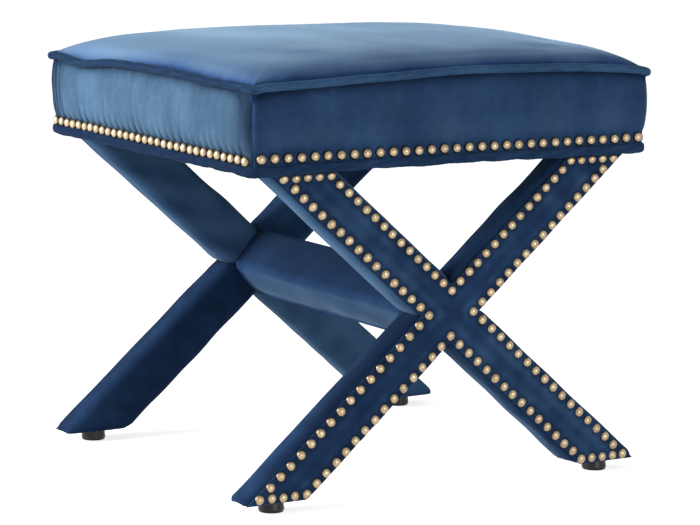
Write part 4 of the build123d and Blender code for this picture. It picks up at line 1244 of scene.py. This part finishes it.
# Dust cover
def make_dust_cover(material):
    """The cloth stretched under the seat, notched round the arms, with a little sag in its middle."""
    half_x, half_y = DUST_COVER_HALF
    notch_x, notch_y = DUST_COVER_NOTCH
    xs = np.concatenate([np.linspace(-half_x, -notch_x, 8)[:-1], np.linspace(-notch_x, notch_x, 25),
                         np.linspace(notch_x, half_x, 8)[1:]])
    ys = np.concatenate([np.linspace(-half_y, -notch_y, 4)[:-1], np.linspace(-notch_y, notch_y, 31),
                         np.linspace(notch_y, half_y, 4)[1:]])
    x, y = np.meshgrid(xs, ys, indexing="ij")
    slack_x, slack_y = DUST_COVER_SLACK
    slack = np.clip(1 - (x / slack_x) ** 2, 0, 1) * np.clip(1 - (y / slack_y) ** 2, 0, 1)
    z = DUST_COVER_Z - slack * (DUST_COVER_SAG + 0.8 * ripples(x, y, seed=800, length=110))
    grid = np.stack([x, y, z], -1)
    middle = (grid[:-1, :-1] + grid[1:, 1:]) / 2
    keep = ~((np.abs(middle[..., 0]) > notch_x) & (np.abs(middle[..., 1]) > notch_y)).reshape(-1)
    faces = [face for face, kept in zip(grid_faces(len(xs), len(ys)), keep) if kept]
    used = sorted({i for face in faces for i in face})
    number = {old: new for new, old in enumerate(used)}
    faces = [[number[i] for i in face] for face in faces]
    edges = {(a, b) for face in faces for a, b in zip(face, face[1:] + face[:1])}
    rim = sorted((a, b) for a, b in edges if (b, a) not in edges)
    upper = grid.reshape(-1, 3)[used]
    under = upper - (0, 0, DUST_COVER_THICK)
    count = len(used)
    faces += [[i + count for i in face] for face in faces]
    faces += [[a, b, b + count, a + count] for a, b in rim]
    piece = make_piece("cloth_dust_cover", np.vstack([upper, under]), faces, material,
                       ["dust_cover"])


# Stage
def background_rays(tree):
    """1 for camera, glossy and transmission rays, 0 for the light that falls on the object."""
    path = tree.nodes.new("ShaderNodeLightPath").outputs
    first = add_math(tree, "MAXIMUM", path["Is Camera Ray"], path["Is Glossy Ray"])
    return add_math(tree, "MAXIMUM", first, path["Is Transmission Ray"])


def make_floor():
    """A plain pale floor that shows as white and keeps the shadow."""
    mesh = bpy.data.meshes.new("floor")
    half_size = 30.0
    corners = [(half_size * x, half_size * y, 0) for x, y in ((-1, -1), (1, -1), (1, 1), (-1, 1))]
    mesh.from_pydata(corners, [], [[0, 1, 2, 3]])
    floor = bpy.data.objects.new("floor", mesh)
    bpy.context.scene.collection.objects.link(floor)
    material, tree, shader = new_material("Floor")
    shader.inputs["Base Color"].default_value = (0.7, 0.7, 0.7, 1)
    shader.inputs["Roughness"].default_value = 1.0
    shader.inputs["Specular IOR Level"].default_value = 0.0
    shader.inputs["Emission Color"].default_value = (1, 1, 1, 1)
    glow = add_math(tree, "MULTIPLY", background_rays(tree), 0.75)
    tree.links.new(glow, shader.inputs["Emission Strength"])
    mesh.materials.append(material)


def make_world(scene):
    """A white background, and a soft grey light on the object."""
    world = bpy.data.worlds.new("Studio")
    scene.world = world
    world.use_nodes = True
    tree = world.node_tree
    soft = tree.nodes["Background"]
    soft.inputs["Color"].default_value = (1, 1, 1, 1)
    soft.inputs["Strength"].default_value = 0.42
    white = tree.nodes.new("ShaderNodeBackground")
    white.inputs["Color"].default_value = (1, 1, 1, 1)
    white.inputs["Strength"].default_value = 1.0
    mix = tree.nodes.new("ShaderNodeMixShader")
    tree.links.new(background_rays(tree), mix.inputs[0])
    tree.links.new(soft.outputs[0], mix.inputs[1])
    tree.links.new(white.outputs[0], mix.inputs[2])
    tree.links.new(mix.outputs[0], tree.nodes["World Output"].inputs["Surface"])


def make_lights():
    """Two large soft lights aimed at the object: one at the left, and a weaker one in front."""
    target = Vector((0, 0, 0.3))
    lights = (
        ("key", (-2.5, 0.8, 1.2), 1.6, 135),
        ("fill", (0.1, -3.1, 0.6), 1.1, 34),
    )
    for name, place, size, power in lights:
        data = bpy.data.lights.new(name, "AREA")
        data.shape = "DISK"
        data.size = size
        data.energy = power
        light = bpy.data.objects.new(name, data)
        bpy.context.scene.collection.objects.link(light)
        aim = (target - Vector(place)).to_track_quat("-Z", "Y")
        light.matrix_world = Matrix.Translation(place) @ aim.to_matrix().to_4x4()


def make_camera(scene):
    """The photograph's view: distance and framing in millimetres, direction and tilt in degrees."""
    distance, shift_right, shift_up = 3453.18, -12.34, -219.13
    yaw, pitch, roll = (math.radians(degrees) for degrees in (32.31, 8.91, 0.86))
    focal_pixels, photo_width = 3000.0, 700
    flat = math.cos(pitch)
    forward = np.array((math.sin(yaw) * flat, math.cos(yaw) * flat, -math.sin(pitch)))
    level = np.array((math.cos(yaw), -math.sin(yaw), 0.0))
    upright = np.cross(level, forward)
    right = math.cos(roll) * level + math.sin(roll) * upright
    up = math.cos(roll) * upright - math.sin(roll) * level
    place = -(shift_right * right + shift_up * up + distance * forward) * MM
    data = bpy.data.cameras.new("camera")
    data.sensor_width = 36.0
    data.sensor_fit = "HORIZONTAL"
    data.lens = data.sensor_width * focal_pixels / photo_width
    data.clip_start, data.clip_end = 0.1, 100.0
    camera = bpy.data.objects.new("camera", data)
    scene.collection.objects.link(camera)
    matrix = np.eye(4)
    matrix[:3] = np.stack([right, up, -forward, place], 1)
    camera.matrix_world = Matrix(matrix.tolist())
    scene.camera = camera


# Operators
class OTTOMAN_OT_cushion(bpy.types.Operator):
    """Makes the crowned seat cushion"""
    bl_idname = "ottoman.cushion"
    bl_label = "Seat cushion"

    def execute(self, context):
        make_cushion(velvet("top"), context.scene.ottoman_sizes.crown_rise / MM)
        return {"FINISHED"}


class OTTOMAN_OT_boxing(bpy.types.Operator):
    """Makes the four velvet bands round the seat"""
    bl_idname = "ottoman.boxing"
    bl_label = "Seat sides"

    def execute(self, context):
        wrinkle = context.scene.ottoman_sizes.wrinkle_depth / MM
        for side in SIDES:
            # The left and right sides take the copy painted lighter; the front and rear take the darker one
            lay = "across" if side in ("left", "right") else "down"
            make_boxing(side, velvet(lay), wrinkle)
        return {"FINISHED"}


class OTTOMAN_OT_welts(bpy.types.Operator):
    """Makes the welt round the seat's top and the lip round its lower edge"""
    bl_idname = "ottoman.welts"
    bl_label = "Welts"

    def execute(self, context):
        make_top_welt(velvet("welt"))
        make_bottom_lip(velvet("lip"))
        return {"FINISHED"}


class OTTOMAN_OT_wraps(bpy.types.Operator):
    """Makes the velvet round the eight arms of the leg frames"""
    bl_idname = "ottoman.wraps"
    bl_label = "Leg wraps"

    def execute(self, context):
        puff = context.scene.ottoman_sizes.wrap_puff / MM
        for face, frame_name in ((-1, "front"), (1, "rear")):
            for up, level in ((1, "upper"), (-1, "lower")):
                for side, across in ((-1, "left"), (1, "right")):
                    replaced = [f"{frame_name}_wrap_{level}_{across}"]
                    if up > 0 and side < 0:
                        replaced.append(f"{frame_name}_leg_wadding")
                    name = f"velvet_{frame_name}_{level}_{across}"
                    make_wrap(name, face, side, up, velvet("legs"), puff, replaced)
        return {"FINISHED"}


class OTTOMAN_OT_panels(bpy.types.Operator):
    """Makes the cross-shaped panels on the outer faces of the leg frames"""
    bl_idname = "ottoman.panels"
    bl_label = "Leg panels"

    def execute(self, context):
        for frame_name in ("front", "rear"):
            make_face_panel(frame_name, velvet("legs"), context.scene.ottoman_sizes.panel_puff / MM)
        return {"FINISHED"}


class OTTOMAN_OT_stretcher(bpy.types.Operator):
    """Makes the two halves of the stretcher's cover"""
    bl_idname = "ottoman.stretcher"
    bl_label = "Stretcher cover"

    def execute(self, context):
        for side in (-1, 1):
            make_stretcher_half(side, velvet("legs"))
        return {"FINISHED"}


class OTTOMAN_OT_nails(bpy.types.Operator):
    """Makes the decorative nails of the seat and the legs"""
    bl_idname = "ottoman.nails"
    bl_label = "Nails"

    def execute(self, context):
        clean = context.scene.ottoman_colours.brass
        tarnish_and_rim_shade = (0.13, 0.085, 0.045)
        brass = worn_material("Brass", clean, tarnish_and_rim_shade, metallic=1.0, smooth=0.33, rough=0.46)
        for row, (node, outward) in enumerate(NAIL_ROWS):
            make_nails(node, outward, brass, context.scene.ottoman_sizes, seed=700 + row)
        return {"FINISHED"}


class OTTOMAN_OT_dust_cover(bpy.types.Operator):
    """Makes the cloth stretched under the seat"""
    bl_idname = "ottoman.dust_cover"
    bl_label = "Dust cover"

    def execute(self, context):
        cloth = fibre_material("Dust cloth", dark=(0.01, 0.01, 0.01), deep=(0.012, 0.012, 0.013),
                               light=(0.03, 0.03, 0.032), brushed=(0.05, 0.05, 0.05), sheen=(1, 1, 1),
                               sheen_weight=0.15, sheen_roughness=0.5, rough=0.9, strength=0.5)
        make_dust_cover(cloth)
        return {"FINISHED"}


class OTTOMAN_OT_frame_finishes(bpy.types.Operator):
    """Gives the hidden frame, the fasteners and the glides their materials"""
    bl_idname = "ottoman.frame_finishes"
    bl_label = "Frame finishes"

    def execute(self, context):
        colours = context.scene.ottoman_colours
        wood = wood_material("Frame wood", colours.wood, (0.26, 0.15, 0.07))
        plywood = wood_material("Plywood", (0.52, 0.37, 0.22), (0.36, 0.23, 0.12))
        steel = worn_material("Zinc steel", (0.55, 0.55, 0.54), (0.30, 0.29, 0.27),
                              metallic=1.0, smooth=0.3, rough=0.55)
        plastic = worn_material("Glide plastic", colours.plastic, (0.012, 0.012, 0.012),
                                metallic=0.0, smooth=0.28, rough=0.45, specular=0.3)
        finishes = (
            (wood, ("seat_rail_", "corner_block_front", "corner_block_rear", "front_board_",
                    "rear_board_", "stretcher_core")),
            (plywood, ("seat_deck",)),
            (steel, ("leg_screws", "deck_screws", "corner_block_screws", "glide_screws",
                     "stretcher_bolts", "stretcher_washers", "dust_cover_staples")),
            (plastic, ("glide_front", "glide_rear")),
        )
        for name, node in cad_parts.items():
            for material, starts in finishes:
                if name.startswith(starts):
                    if not node.material_slots:
                        node.data.materials.append(material)
                    for slot in node.material_slots:
                        slot.material = material
        return {"FINISHED"}


class OTTOMAN_OT_stage(bpy.types.Operator):
    """Makes the floor, the studio light and the camera"""
    bl_idname = "ottoman.stage"
    bl_label = "Stage"

    def execute(self, context):
        scene = context.scene
        make_floor()
        make_world(scene)
        make_lights()
        make_camera(scene)
        scene.view_settings.view_transform = "Standard"
        return {"FINISHED"}


# Sidebar
class OTTOMAN_PT_panel(bpy.types.Panel):
    """Lists the ottoman's sizes, its colours and the operators that make its pieces"""
    bl_idname = "OTTOMAN_PT_panel"
    bl_label = "Ottoman"
    bl_space_type = "VIEW_3D"
    bl_region_type = "UI"
    bl_category = "Ottoman"

    def draw(self, context):
        layout = self.layout
        for group in (context.scene.ottoman_sizes, context.scene.ottoman_colours):
            for name in group.__annotations__:
                layout.prop(group, name)
        for operator in OPERATORS:
            layout.operator(operator.bl_idname)


OPERATORS = (
    OTTOMAN_OT_cushion,
    OTTOMAN_OT_boxing,
    OTTOMAN_OT_welts,
    OTTOMAN_OT_wraps,
    OTTOMAN_OT_panels,
    OTTOMAN_OT_stretcher,
    OTTOMAN_OT_nails,
    OTTOMAN_OT_dust_cover,
    OTTOMAN_OT_frame_finishes,
    OTTOMAN_OT_stage,
)
CLASSES = (OttomanSizes, OttomanColours, *OPERATORS, OTTOMAN_PT_panel)


def register():
    """Adds the classes to Blender, with the sizes and the colours on each scene."""
    for cls in CLASSES:
        bpy.utils.register_class(cls)
    bpy.types.Scene.ottoman_sizes = bpy.props.PointerProperty(type=OttomanSizes)
    bpy.types.Scene.ottoman_colours = bpy.props.PointerProperty(type=OttomanColours)


def unregister():
    """Takes the classes away again."""
    del bpy.types.Scene.ottoman_colours
    del bpy.types.Scene.ottoman_sizes
    for cls in reversed(CLASSES):
        bpy.utils.unregister_class(cls)


def main():
    """Makes every piece and the stage."""
    register()
    bpy.ops.ottoman.cushion()
    bpy.ops.ottoman.boxing()
    bpy.ops.ottoman.welts()
    bpy.ops.ottoman.wraps()
    bpy.ops.ottoman.panels()
    bpy.ops.ottoman.stretcher()
    bpy.ops.ottoman.nails()
    bpy.ops.ottoman.dust_cover()
    bpy.ops.ottoman.frame_finishes()
    bpy.ops.ottoman.stage()


if __name__ == "__main__":
    main()
